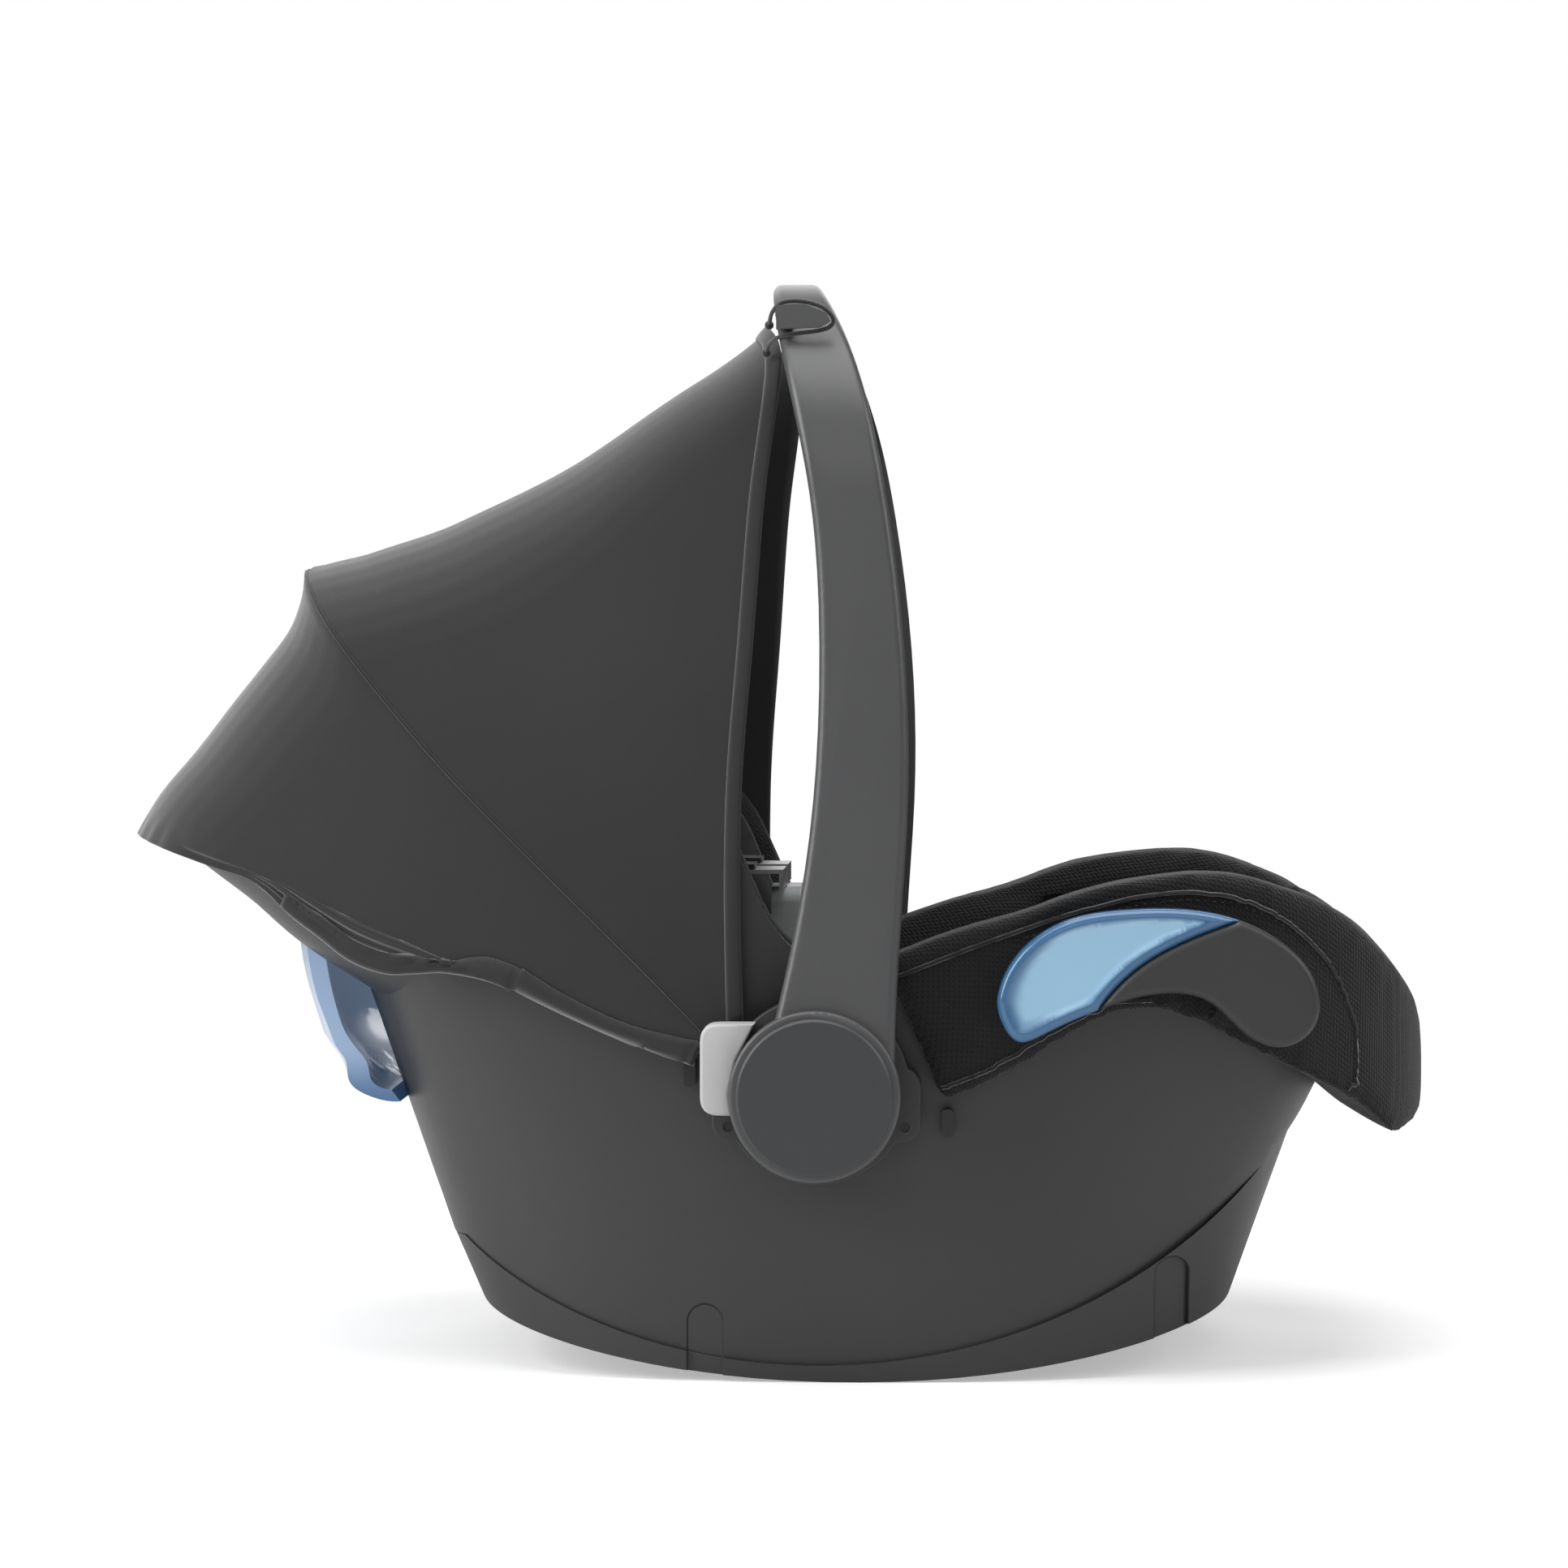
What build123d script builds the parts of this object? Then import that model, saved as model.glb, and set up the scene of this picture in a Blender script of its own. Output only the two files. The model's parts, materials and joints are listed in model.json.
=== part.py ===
"""Infant car seat: a rear-facing carrier shell on rocker skirts, with a swinging carry handle, a folding
canopy, a three-point harness, lap and diagonal belt guides and sockets for stroller adapters.

Frame: +X runs from the head end to the foot end, +Y to the seat's left side, +Z up. The origin is on the
floor under the middle of the seat. Every part of the right side (-Y) is mirrored to the left side (+Y).
All lengths are millimetres; "out" is the distance from the middle plane to the right.
"""

from build123d import *
import math
import os

# ---------------------------------------------------------------- driving dimensions
# Hub: the axis of the carry handle, which runs along Y
HUB_X = 26.5
HUB_Z = 149.3

# Rocker: the skirts stand on one arc
ROCKER_R = 634.0
ROCKER_X = 43.0  # lowest point of the arc

# Crease: the arc on which the hull's side ends and the skirt begins
CREASE_R = 320.0
CREASE_X = 26.0
CREASE_LOW = 8.4
SKIRT_TOP_REAR = 62.0  # the skirt's ends reach this high
SKIRT_TOP_FRONT = 140.0

# Hull: plan sections that widen upwards; each side leans out by its slope per millimetre of height
LEVEL = 107.0  # height at which the reaches below are given
HULL_REAR = -186.6
HULL_FRONT = 269.5
HULL_HALF = 162.0
HULL_REAR_SLOPE = 0.353
HULL_FRONT_SLOPE = 0.50
HULL_SIDE_SLOPE = 0.05
HULL_MID_X = 20.0
SQUARENESS = 0.84  # 0.55 makes the plan an ellipse, 1 nearly a rectangle

# Skirt: the runner under the hull's lower edge
SKIRT_REAR = -189.9
SKIRT_FRONT = 269.4
SKIRT_HALF = 163.0
SKIRT_REAR_SLOPE = 0.444
SKIRT_FRONT_SLOPE = 0.36
SKIRT_SIDE_SLOPE = 0.03
FLANGE = 14.0  # width of the foot flange
PAD_X = (-30.5, 206.0)  # recessed stops in the skirt
PAD_HALF = 9.0
PAD_TOP = (39.0, 61.0)
PAD_DEPTH = 1.6

# Head end: a bucket that overhangs the rocker; its end wall is square to the recline
RECLINE = 32.0  # degrees
HEAD_X = -329.0
HEAD_Z = 269.0  # lower edge of the end wall
HEAD_CORNER_R = 62.0
HEAD_FLARE = 4.0
HEAD_STATIONS = ((0.0, 120.0), (34.0, 140.0), (105.0, 152.0), (300.0, 160.0))  # distance, half width
HEAD_HEIGHT = 260.0

# Shell
WALL = 4.0
BUILD_TOP = 430.0
BUILD_LOW = -10.0
RIM = (
    (-254.9, 387.5), (-150.0, 344.0), (-62.0, 309.0), (-20.0, 278.0), (8.0, 226.0), (44.0, 205.0),
    (96.0, 216.0), (150.0, 234.0), (205.0, 246.0), (252.0, 232.0), (292.0, 198.0), (330.0, 150.0),
)
FLOOR = (
    (-228.0, 221.0), (-140.0, 160.0), (-50.0, 98.0), (35.0, 66.0),
    (130.0, 76.0), (225.0, 116.0), (340.0, 176.0),
)
RIB_X = (-110.0, -40.0, 35.0, 110.0, 180.0)
RIB_DEPTH = 14.0
RIB_THICK = 3.0

# Ear: the boss on each side that carries the handle and takes a stroller adapter from below
EAR_R = 47.0
EAR_HALF = 52.0
EAR_DROP = 25.5  # lower edge under the hub axis
EAR_RISE = 12.0
EAR_CORNER_R = 10.0
SOCKET_IN = 168.5
SOCKET_OUT = 176.5
SOCKET_HALF = 40.0
SOCKET_RISE = 30.0  # top of the socket above the hub axis
EAR_FACE = 186.0
PLATE_EDGE_R = 1.0

# Handle
ROUND = 0.5523  # handle length at which a cubic curve follows a quarter of an ellipse
ARM_THICK = 24.0
BAR_THICK = 17.0
ARM_OUT_LOW = 213.0  # outer face at hub height
ARM_OUT_HIGH = 199.0  # outer face where the corner arc starts
CORNER_Z = 446.0
CORNER_R = 112.0
LINER_THICK = 3.0
LINER_INSET = 5.0
HUB_R = 42.4
FLANGE_IN = 204.0
FLANGE_OUT = 216.5
HUB_EDGE_R = 2.0
CORE_R = 30.0
CORE_IN = 191.0
CAP_R = 38.6
CAP_THICK = 3.5
AXLE_R = 10.0
AXLE_HEAD_R = 16.0
RUNNING = 0.05  # radial play of the hub on its axle
SWEEP_R = 63.0  # inside this radius the arm stays outboard of the release button

# Release button and its latch
BUTTON_R = 58.0
BUTTON_INNER_R = 36.5
BUTTON_FROM = 130.0  # degrees about the hub axis
BUTTON_TO = 196.0
BUTTON_IN = 187.0
BUTTON_OUT = 203.0
BUTTON_TRAVEL = 6.0
FORK_OUT = 190.0
FORK_HALF = 15.0

# Canopy: cloth on one hinged bow, fanned about a pivot on each side
FAN_X = -8.6  # the cloth's panels fan out from this point in side view
FAN_Z = 156.0
FAN_FOOT = 14.0
CLOTH = 2.4
BOW_R = 2.5
BOW_FOOT = 25.0  # the bow's pivot, measured along the bow from the fan's point
BOW_PIN_R = 2.5
# Each: ridge point, half width at the foot, knee (distance from the fan's point, half width),
# half width at the top, corner radius
CANOPY_FRONT = (
    ((0.0, 534.0), 180.0, (140.0, 178.0), 146.0, 36.0),
    ((-46.0, 500.0), 180.0, (155.0, 177.5), 145.0, 44.0),
    ((-104.0, 461.0), 180.0, (170.0, 177.0), 146.0, 50.0),
    ((-163.0, 431.0), 180.5, (180.0, 176.0), 150.0, 54.0),
    ((-212.0, 415.0), 181.0, (190.0, 175.0), 155.0, 55.0),
    ((-250.0, 410.0), 181.0, (200.0, 174.0), 158.0, 56.0),
)
CANOPY_REAR = (
    CANOPY_FRONT[-1],
    ((-344.0, 270.0), 181.0, (190.0, 168.0), 140.0, 48.0),
    ((-322.0, 245.0), 181.0, (180.0, 166.0), 136.0, 48.0),
)
KNEE_R = 60.0
HEM = (
    (-2.0, 186.0), (-18.0, 172.0), (-38.0, 163.0), (-97.6, 187.0), (-160.0, 206.0), (-215.0, 205.0),
    (-268.0, 237.0), (-348.0, 262.0),
)

# Padding
LINER = 13.0
COVER = 12.0
HUGGER = 26.0
GAP = 0.6  # clearance between soft layers and what they lie on

# Seat cover over the foot end
COVER_TOP = (
    (50.0, 214.0), (125.0, 254.0), (199.0, 268.0), (262.0, 247.0), (318.0, 198.0),
    (344.0, 160.0), (339.0, 124.0),
)
COVER_LOW = ((322.0, 118.0), (298.0, 138.0), (247.0, 166.0), (190.0, 188.0), (121.0, 155.5), (88.0, 143.0))
COVER_PROUD = 14.0
COVER_FRONT = 344.0  # how far the padded foot end reaches

# Webbing
WEB_WIDE = 36.0
WEB_THICK = 1.8
SHOULDER_Y = 40.0
BUCKLE_X = 6.0

# Belt guides
GUIDE_IN = 186.0
GUIDE_OUT = 201.0
GUIDE_EDGE_R = 4.0
REAR_GUIDE_HALF = 96.0

# Handle in side view, from the hub upwards
ARM_LEFT = (
    (2.0, 168.0), (11.9, 209.0), (24.0, 280.0), (28.4, 369.0), (22.8, 450.0), (9.6, 513.0), (-0.5, 568.0),
)
ARM_RIGHT = (
    (66.0, 160.0), (67.2, 209.0), (72.0, 289.0), (70.3, 369.0), (60.4, 450.0), (45.6, 513.0), (17.0, 568.0),
)
HANDLE_EDGE_R = 4.5
LINER_LOW = 218.0
AXLE_FLOOR = 2.0
AXLE_HEAD_DEEP = 4.5
BUTTON_EDGE_R = 2.2
FORK_END = 25.0  # beyond the hub axis
STOP_X = 33.0
STOP_THICK = 2.5
SPRING_WIRE = 0.6
SPRING_FOLDS = 6
SPRING_HALF = 9.0
PLATE_SCREW_INSET = 8.0
PLATE_SCREW_R = 2.6

# Canopy fixings
PEG = ((6.0, 529.0), (6.0, 541.0), (20.0, 541.5), (31.0, 537.0), (33.0, 533.0), (28.0, 530.0))
PEG_STEM = ((6.5, 530.0), (6.5, 540.0), (14.0, 540.0), (14.0, 530.0))
PEG_OUT = 168.0
PEG_THICK = 4.0
LOOP = (-4.0, 19.8, 528.1, 541.6)
LOOP_R = 1.4
CANOPY_HOOK = (-37.5, 157.0)
COVER_HOOK = (92.0, 132.0)
HOOK_IN = 164.0

# Harness
SLOT_CLEAR = 1.6  # room on each face of the webbing
SLOT_ENDS = 4.0  # a slot is longer than its webbing is wide by this
SHOULDER_X = -203.0
STRAP_RISE = 54.0
CROTCH_X = 58.0
ADJUST_X = 212.0
ADJUST_HALF = 12.0
HUGGER_X = 22.0
PAD_SPAN = (0.32, 0.86)  # shares of the strap's run that its pad covers
PAD_THICK = 9.0
CROTCH_RISE = 34.0  # where the crotch strap leaves its slot, above the floor's underside
CROTCH_SPAN = (0.12, 0.92)
PAD_HEM = 7.0
PAD_PLAY = 0.8
YOKE_DROP = 32.0
STRAP_DROP = 24.0
ADJUST_KEY_BACK = 10.0
BUCKLE_TOP = 244.0
BUCKLE_HIGH = 50.0
BUCKLE_DEEP = 17.0
BUCKLE_WIDE = 48.0
BUTTON_DEEP = 8.0
KEY_WIDE = 26.0
KEY_HIGH = 17.0
KEY_DOWN = 21.0  # its middle, under the buckle's top
KEY_CORNER_R = 3.0
BUCKLE_CORNER_R = 9.0
BUCKLE_EDGE_R = 2.0
TONGUE_X = 4.0
TONGUE_Y = 11.0
TONGUE_WIDE = 15.0
TONGUE_THICK = 2.2
TONGUE_DEEP = 18.0
TONGUE_REACH = 14.0
TONGUE_RISE = 12.0

# Belt guides in side view
GUIDE_EDGE = (
    (116.8, 199.0), (119.0, 184.0), (126.8, 175.5), (140.0, 179.5), (164.7, 190.6), (190.0, 198.5),
    (220.7, 195.4), (242.7, 176.7), (258.0, 173.5), (272.0, 183.0), (272.6, 206.0), (255.0, 226.0),
    (224.7, 238.6), (180.0, 240.6), (148.8, 234.6), (126.0, 218.0),
)
GUIDE_SPLIT = ((155.0, 170.0), (164.7, 189.4), (184.7, 211.4), (208.7, 225.4), (248.0, 240.0))
GUIDE_STEMS = ((163.0, 219.0, 34.0, 18.0), (226.0, 209.0, 26.0, 16.0))  # x, z, width, height
REAR_GUIDE_OUT = (
    (-257.0, 226.0), (-253.5, 199.8), (-246.5, 173.6), (-236.0, 147.3), (-225.0, 137.7), (-211.0, 135.0),
)
REAR_GUIDE_IN = (
    (-212.0, 141.0), (-222.0, 145.0), (-229.0, 154.0), (-239.0, 178.0), (-245.0, 202.0), (-247.5, 226.0),
)

# ---------------------------------------------------------------- shared construction
os.makedirs("parts", exist_ok=True)


def save(name, shape):
    """Writes one node's solids."""
    export_step(Compound(children=list(shape.solids())), f"parts/{name}.step")


def save_pair(name, shape):
    """Writes the right-hand part and its mirror image on the left."""
    save(f"{name}_right", shape)
    save(f"{name}_left", mirror(shape, about=Plane.XZ))


def both(shape):
    """A right-hand form with its mirror image."""
    return shape + mirror(shape, about=Plane.XZ)


def side_prism(outline, half=260.0):
    """A closed outline in the XZ plane, made thick to both sides."""
    return extrude(Plane.XZ * make_face(outline), amount=half, both=True)


def slab(outline, near, far):
    """An XZ face made solid between two distances out from the middle plane."""
    return extrude(Plane.XZ.offset(near) * outline, amount=far - near)


def disc(radius, near, far, x=HUB_X, z=HUB_Z):
    """A disc about a Y axis on the right side, the handle's axis if no place is given."""
    return slab(Pos(x, z) * Circle(radius), near, far)


def block(x, y, z, about=(0.0, 0.0, 0.0)):
    """A box of the given size about a point."""
    return Pos(*about) * Box(x, y, z)


def plan_section(z, rear, front, half):
    """A rounded plan outline at height z, its four quarters drawn with equal handles."""
    mid = HULL_MID_X
    rear_quarter = Bezier(
        (rear, 0), (rear, SQUARENESS * half), (mid - SQUARENESS * (mid - rear), half), (mid, half)
    )
    front_quarter = Bezier(
        (mid, half), (mid + SQUARENESS * (front - mid), half), (front, SQUARENESS * half), (front, 0)
    )
    upper = Curve() + [rear_quarter, front_quarter]
    lower = mirror(upper, about=Plane.XZ)
    return Pos(0, 0, z) * make_face(Curve() + [*upper.edges(), *lower.edges()])


def tapered(rear, front, half, slopes, grow):
    """A full-height form whose rear, front and sides lean out by their slopes."""
    sections = []
    for z in (BUILD_LOW, BUILD_TOP):
        up = z - LEVEL
        sections.append(
            plan_section(
                z, rear - slopes[0] * up - grow, front + slopes[1] * up + grow, half + slopes[2] * up + grow
            )
        )
    return loft(sections)


def hull(grow):
    """The hull's full-height form, grown outwards by a distance."""
    slopes = (HULL_REAR_SLOPE, HULL_FRONT_SLOPE, HULL_SIDE_SLOPE)
    return tapered(HULL_REAR, HULL_FRONT, HULL_HALF, slopes, grow)


def skirt(grow):
    """The skirt's full-height form, a little wider than the hull at its foot."""
    slopes = (SKIRT_REAR_SLOPE, SKIRT_FRONT_SLOPE, SKIRT_SIDE_SLOPE)
    return tapered(SKIRT_REAR, SKIRT_FRONT, SKIRT_HALF, slopes, grow)


def head_axes():
    """Unit vectors in XZ: up along the head end's wall, and out of it."""
    slope = math.radians(RECLINE)
    return (math.sin(slope), math.cos(slope)), (-math.cos(slope), math.sin(slope))


def head_section(distance, half, grow):
    """A U-shaped section of the head end: flat underside, large lower corners, walls that flare."""
    up, out = head_axes()
    plane = Plane(
        origin=(HEAD_X - distance * out[0], 0, HEAD_Z - distance * out[1]),
        x_dir=(0, -1, 0),
        z_dir=(out[0], 0, out[1]),
    )
    low, high = half + grow - HEAD_FLARE, half + grow + HEAD_FLARE
    face = make_face(
        Polyline((-low, -grow), (low, -grow), (high, HEAD_HEIGHT), (-high, HEAD_HEIGHT), close=True)
    )
    return plane * fillet(face.vertices().sort_by(Axis.Y)[:2], HEAD_CORNER_R + grow)


def head_end(grow):
    """The overhanging head end, grown outwards by a distance."""
    sections = []
    for place, (distance, half) in enumerate(HEAD_STATIONS):
        sections.append(head_section(distance - (grow if place == 0 else 0.0), half, grow))
    return loft(sections)


def below_rim(lift=0.0, end=0.0):
    """Everything under the rim line, lifted, and inside the head end's wall, moved out by end."""
    up, out = head_axes()
    points = [(x, z + lift) for x, z in RIM]
    points[0] = (points[0][0] + end * out[0], points[0][1] + end * out[1])
    reach = (points[0][1] + 60.0) / up[1]
    foot = (points[0][0] - reach * up[0], -60.0)
    beyond = (points[-1][0] + 70.0, points[-1][1] - 80.0)
    return side_prism([
        Spline(*points), Line(points[-1], beyond), Line(beyond, (beyond[0], -60.0)),
        Line((beyond[0], -60.0), foot), Line(foot, points[0]),
    ])


def above_floor(lift=0.0):
    """Everything above the seat floor's underside, lifted."""
    points = [(x, z + lift) for x, z in FLOOR]
    rear = (points[0][0] - 150.0, points[0][1] + 62.0)
    front = (points[-1][0] + 80.0, points[-1][1])
    top = 600.0
    return side_prism([
        Line(rear, points[0]), Spline(*points), Line(points[-1], front), Line(front, (front[0], top)),
        Line((front[0], top), (rear[0], top)), Line((rear[0], top), rear),
    ])


def on_edge(x, low, radius):
    """A disc on edge across the whole seat, whose lowest point is given."""
    return side_prism([CenterArc((x, low + radius), radius, 0, 360)])


def tub(inset, lift):
    """The room inside the shell, inset from its outer skin and lifted off the floor."""
    return (hull(-inset) + head_end(-inset)) & above_floor(lift)


def above_skirt():
    """Everything above the line in which the skirt's ends stop."""
    rear, front, top = (-260, SKIRT_TOP_REAR - 12), (380, SKIRT_TOP_FRONT + 14), 600
    return side_prism([Polyline(rear, front, (front[0], top), (rear[0], top), close=True)])


def ear_outline():
    """The boss and its plate in side view: a disc on a squared foot."""
    foot = Pos(HUB_X, HUB_Z + (EAR_RISE - EAR_DROP) / 2) * RectangleRounded(
        2 * EAR_HALF, EAR_RISE + EAR_DROP, EAR_CORNER_R
    )
    return foot + Pos(HUB_X, HUB_Z) * Circle(EAR_R)


def socket_outline():
    """The adapter socket in side view, open at its foot."""
    low, high = -EAR_DROP - 20.0, SOCKET_RISE
    return Pos(HUB_X, HUB_Z + (low + high) / 2) * Rectangle(2 * SOCKET_HALF, high - low)


# ---------------------------------------------------------------- shell
def shell():
    crease = on_edge(CREASE_X, CREASE_LOW, CREASE_R)
    rocker = on_edge(ROCKER_X, 0.0, ROCKER_R)
    upper = above_skirt()
    bowl = (hull(0.0) & crease) + (hull(0.0) & upper)
    runner = (skirt(0.0) & rocker) - upper - crease
    body = bowl + runner + head_end(0.0)
    boss = slab(ear_outline(), 120.0, SOCKET_OUT)
    body = (body & below_rim()) + both(boss)
    raised = on_edge(ROCKER_X, WALL, ROCKER_R - WALL)
    hollow = (hull(-WALL) & raised) + ((skirt(-WALL) & raised) - upper) + (skirt(-FLANGE) - upper)
    hollow -= above_floor(-WALL)
    for x in RIB_X:
        rib = block(RIB_THICK, 400, 300, (x, 0, 150)) - block(9, 2 * ADJUST_HALF + 12, 400, (x, 0, 150))
        hollow -= rib & above_floor(-WALL - RIB_DEPTH)
    body = body - hollow - tub(WALL, 0.0)
    body -= both(slab(socket_outline(), SOCKET_IN, SOCKET_OUT + 5.0))
    for x, top in zip(PAD_X, PAD_TOP):
        recess = slab(Pos(x, top - 50) * RectangleRounded(2 * PAD_HALF, 100, PAD_HALF - 0.5), 60.0, 240.0)
        body -= both(recess - skirt(-PAD_DEPTH))
    return body - slots()


def liner():
    layer = tub(WALL + GAP, GAP) & below_rim(-20.0, -20.0)
    return layer - tub(WALL + LINER, LINER) - slots()


def slots():
    """Slots for the shoulder straps, the crotch strap and the adjuster strap, through all layers."""
    thick, wide = WEB_THICK + 2 * SLOT_CLEAR, WEB_WIDE + SLOT_ENDS
    cuts = both(block(thick, wide, 90.0, (SHOULDER_X, -SHOULDER_Y, floor_z(SHOULDER_X) + 20.0)))
    for x in (CROTCH_X, ADJUST_X):
        cuts += block(thick, wide, 80.0, (x, 0, floor_z(x) + 10.0))
    return cuts


def floor_z(x):
    """Height of the seat floor's underside at a place along the seat."""
    line = Spline(*FLOOR)
    low, high = 0.0, 1.0
    for _ in range(40):
        middle = (low + high) / 2
        if line.position_at(middle).X < x:
            low = middle
        else:
            high = middle
    return line.position_at(low).Y


# ---------------------------------------------------------------- handle pivot and release
def hub_plate():
    plate = slab(ear_outline(), SOCKET_OUT, EAR_FACE)
    plate = fillet(plate.faces().sort_by(Axis.Y)[0].edges(), PLATE_EDGE_R)
    plate -= disc(AXLE_R, SOCKET_OUT + AXLE_FLOOR, EAR_FACE + 1)
    for side in (-1, 1):
        x = HUB_X + side * (EAR_HALF - PLATE_SCREW_INSET)
        z = HUB_Z - EAR_DROP + PLATE_SCREW_INSET
        plate -= disc(PLATE_SCREW_R, SOCKET_OUT, EAR_FACE + 1, x, z)
    stop = Pos(HUB_X + STOP_X + STOP_THICK / 2, HUB_Z) * Rectangle(STOP_THICK, 2 * FORK_HALF)
    return plate + slab(stop, EAR_FACE, FORK_OUT)


def plate_screws():
    screws = Part()
    for side in (-1, 1):
        x = HUB_X + side * (EAR_HALF - PLATE_SCREW_INSET)
        z = HUB_Z - EAR_DROP + PLATE_SCREW_INSET
        screws += disc(PLATE_SCREW_R, SOCKET_OUT, EAR_FACE - 1.0, x, z)
    return screws


def axle():
    stem = disc(AXLE_R, SOCKET_OUT + AXLE_FLOOR, FLANGE_OUT - AXLE_HEAD_DEEP)
    shoulder = disc(AXLE_R + 4, EAR_FACE, BUTTON_IN - 0.3)
    top = disc(AXLE_HEAD_R, FLANGE_OUT - AXLE_HEAD_DEEP, FLANGE_OUT - 1.0)
    return stem + shoulder + top


def sector(inner, outer, start, end):
    """An annular sector about the hub axis; angles in degrees."""
    reach = 3 * outer
    corners = [(0, 0)]
    for angle in (start, (start + end) / 2, end):
        corners.append((reach * math.cos(math.radians(angle)), reach * math.sin(math.radians(angle))))
    wedge = make_face(Polyline(*corners, close=True))
    return Pos(HUB_X, HUB_Z) * ((Circle(outer) & wedge) - Circle(inner))


def release_button():
    body = slab(sector(BUTTON_INNER_R, BUTTON_R, BUTTON_FROM, BUTTON_TO), BUTTON_IN, BUTTON_OUT)
    face = body.faces().sort_by(Axis.Y)[0]
    return fillet(face.edges(), BUTTON_EDGE_R)


def latch_fork():
    """A plate behind the hub, slotted round the axle, that the button pushes against its spring."""
    right = FORK_END
    plate = Pos((right - BUTTON_R) / 2) * Rectangle(right + BUTTON_R, 2 * FORK_HALF)
    slot_left = -(AXLE_R + BUTTON_TRAVEL + 0.8)
    slot_right = AXLE_R + 0.8
    slot = Pos((slot_left + slot_right) / 2) * RectangleRounded(
        slot_right - slot_left, 2 * AXLE_R + 1.6, AXLE_R - 0.2
    )
    plate = (plate & Circle(BUTTON_INNER_R)) - slot
    return slab(Pos(HUB_X, HUB_Z) * plate, BUTTON_IN, FORK_OUT)


def button_spring():
    """A folded leaf between the fork's end and the stop on the plate."""
    start, end = FORK_END + SPRING_WIRE, STOP_X - SPRING_WIRE
    points = []
    for turn in range(SPRING_FOLDS + 1):
        x = start + (end - start) * turn / SPRING_FOLDS
        points.append((x, SPRING_HALF if turn % 2 else -SPRING_HALF))
    leaf = trace(Polyline(*points), SPRING_WIRE)
    return slab(Pos(HUB_X, HUB_Z) * leaf, BUTTON_IN + 0.4, FORK_OUT - 0.4)


# ---------------------------------------------------------------- handle
def arch_block(inset):
    """The handle's arch in front view, inset from its outer line: arms that lean in, round corners."""
    share = inset / ARM_THICK
    drop = share * BAR_THICK
    lean = (ARM_OUT_LOW - ARM_OUT_HIGH) / (CORNER_Z - HUB_Z)
    foot_z = HUB_Z - 60.0
    foot = ARM_OUT_LOW + lean * 60.0 - inset
    knee = ARM_OUT_HIGH - inset
    centre = ARM_OUT_HIGH - CORNER_R
    top = CORNER_Z + CORNER_R - drop
    half = [
        Line((foot, foot_z), (knee, CORNER_Z)),
        Bezier(
            (knee, CORNER_Z), (knee, CORNER_Z + ROUND * (CORNER_R - drop)),
            (centre + ROUND * (CORNER_R - inset), top), (centre, top),
        ),
    ]
    other = [mirror(edge, about=Plane.YZ) for edge in half]
    closing = [Line((centre, top), (-centre, top)), Line((foot, foot_z), (-foot, foot_z))]
    return extrude(Plane.YZ * make_face([*half, *other, *closing]), amount=130.0, both=True)


def arch_band(outer, inner):
    """The arch between two insets, made thick along the seat."""
    return arch_block(outer) - arch_block(inner)


def handle_outline(inset):
    """The handle in side view: a bowed blade, widest above the hub, that leans back at the top."""
    left = [(x + inset, z) for x, z in ARM_LEFT]
    right = [(x - inset, z) for x, z in ARM_RIGHT]
    top = CORNER_Z + CORNER_R + 20.0
    return side_prism([
        Spline(*left), Line(left[-1], (left[-1][0], top)), Line((left[-1][0], top), (right[-1][0], top)),
        Line((right[-1][0], top), right[-1]), Spline(*right), Line(right[0], left[0]),
    ])


def outer_edges(blade):
    """The blade's long edges on the arch's outer skin."""
    lean = (ARM_OUT_LOW - ARM_OUT_HIGH) / (CORNER_Z - HUB_Z)
    centre = ARM_OUT_HIGH - CORNER_R
    found = ShapeList()
    for edge in blade.edges().filter_by(lambda edge: edge.length > 3 * ARM_THICK):
        middle = edge @ 0.5
        out = abs(middle.Y)
        if middle.Z < CORNER_Z:
            gap = ARM_OUT_LOW - lean * (middle.Z - HUB_Z) - out
        else:
            gap = CORNER_R - math.hypot(max(out - centre, 0.0), middle.Z - CORNER_Z)
        if gap < ARM_THICK / 4:
            found.append(edge)
    return found


def handle_frame():
    blade = arch_band(0.0, ARM_THICK - LINER_THICK) & handle_outline(0.0)
    blade = fillet(outer_edges(blade), HANDLE_EDGE_R)
    blade += (arch_band(ARM_THICK - LINER_THICK, ARM_THICK) & handle_outline(0.0)) - liner_zone(0.0)
    sweep = disc(SWEEP_R, 150.0, FLANGE_IN)
    blade -= both(sweep)
    flange = disc(HUB_R, FLANGE_IN, FLANGE_OUT)
    flange = fillet(flange.faces().sort_by(Axis.Y)[0].edges(), HUB_EDGE_R)
    hub = disc(CORE_R, CORE_IN, FLANGE_IN) + flange
    blade += both(hub)
    holes = disc(AXLE_R + RUNNING, 150.0, 230.0)
    holes += disc(AXLE_HEAD_R + 1.0, FLANGE_OUT - AXLE_HEAD_DEEP, 230.0)
    return blade - both(holes)


def liner_zone(play):
    """The recess for the inner lining of the handle, from above the hubs."""
    zone = arch_band(ARM_THICK - LINER_THICK, ARM_THICK) & handle_outline(LINER_INSET + play)
    return zone & block(400, 600, 400, (0, 0, LINER_LOW + play + 200))


def handle_lining():
    return liner_zone(0.0)


def hub_cap():
    cap = disc(CAP_R, FLANGE_OUT, FLANGE_OUT + CAP_THICK)
    rim = cap.faces().sort_by(Axis.Y)[0].edges()
    return chamfer(rim, 1.2)


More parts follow.
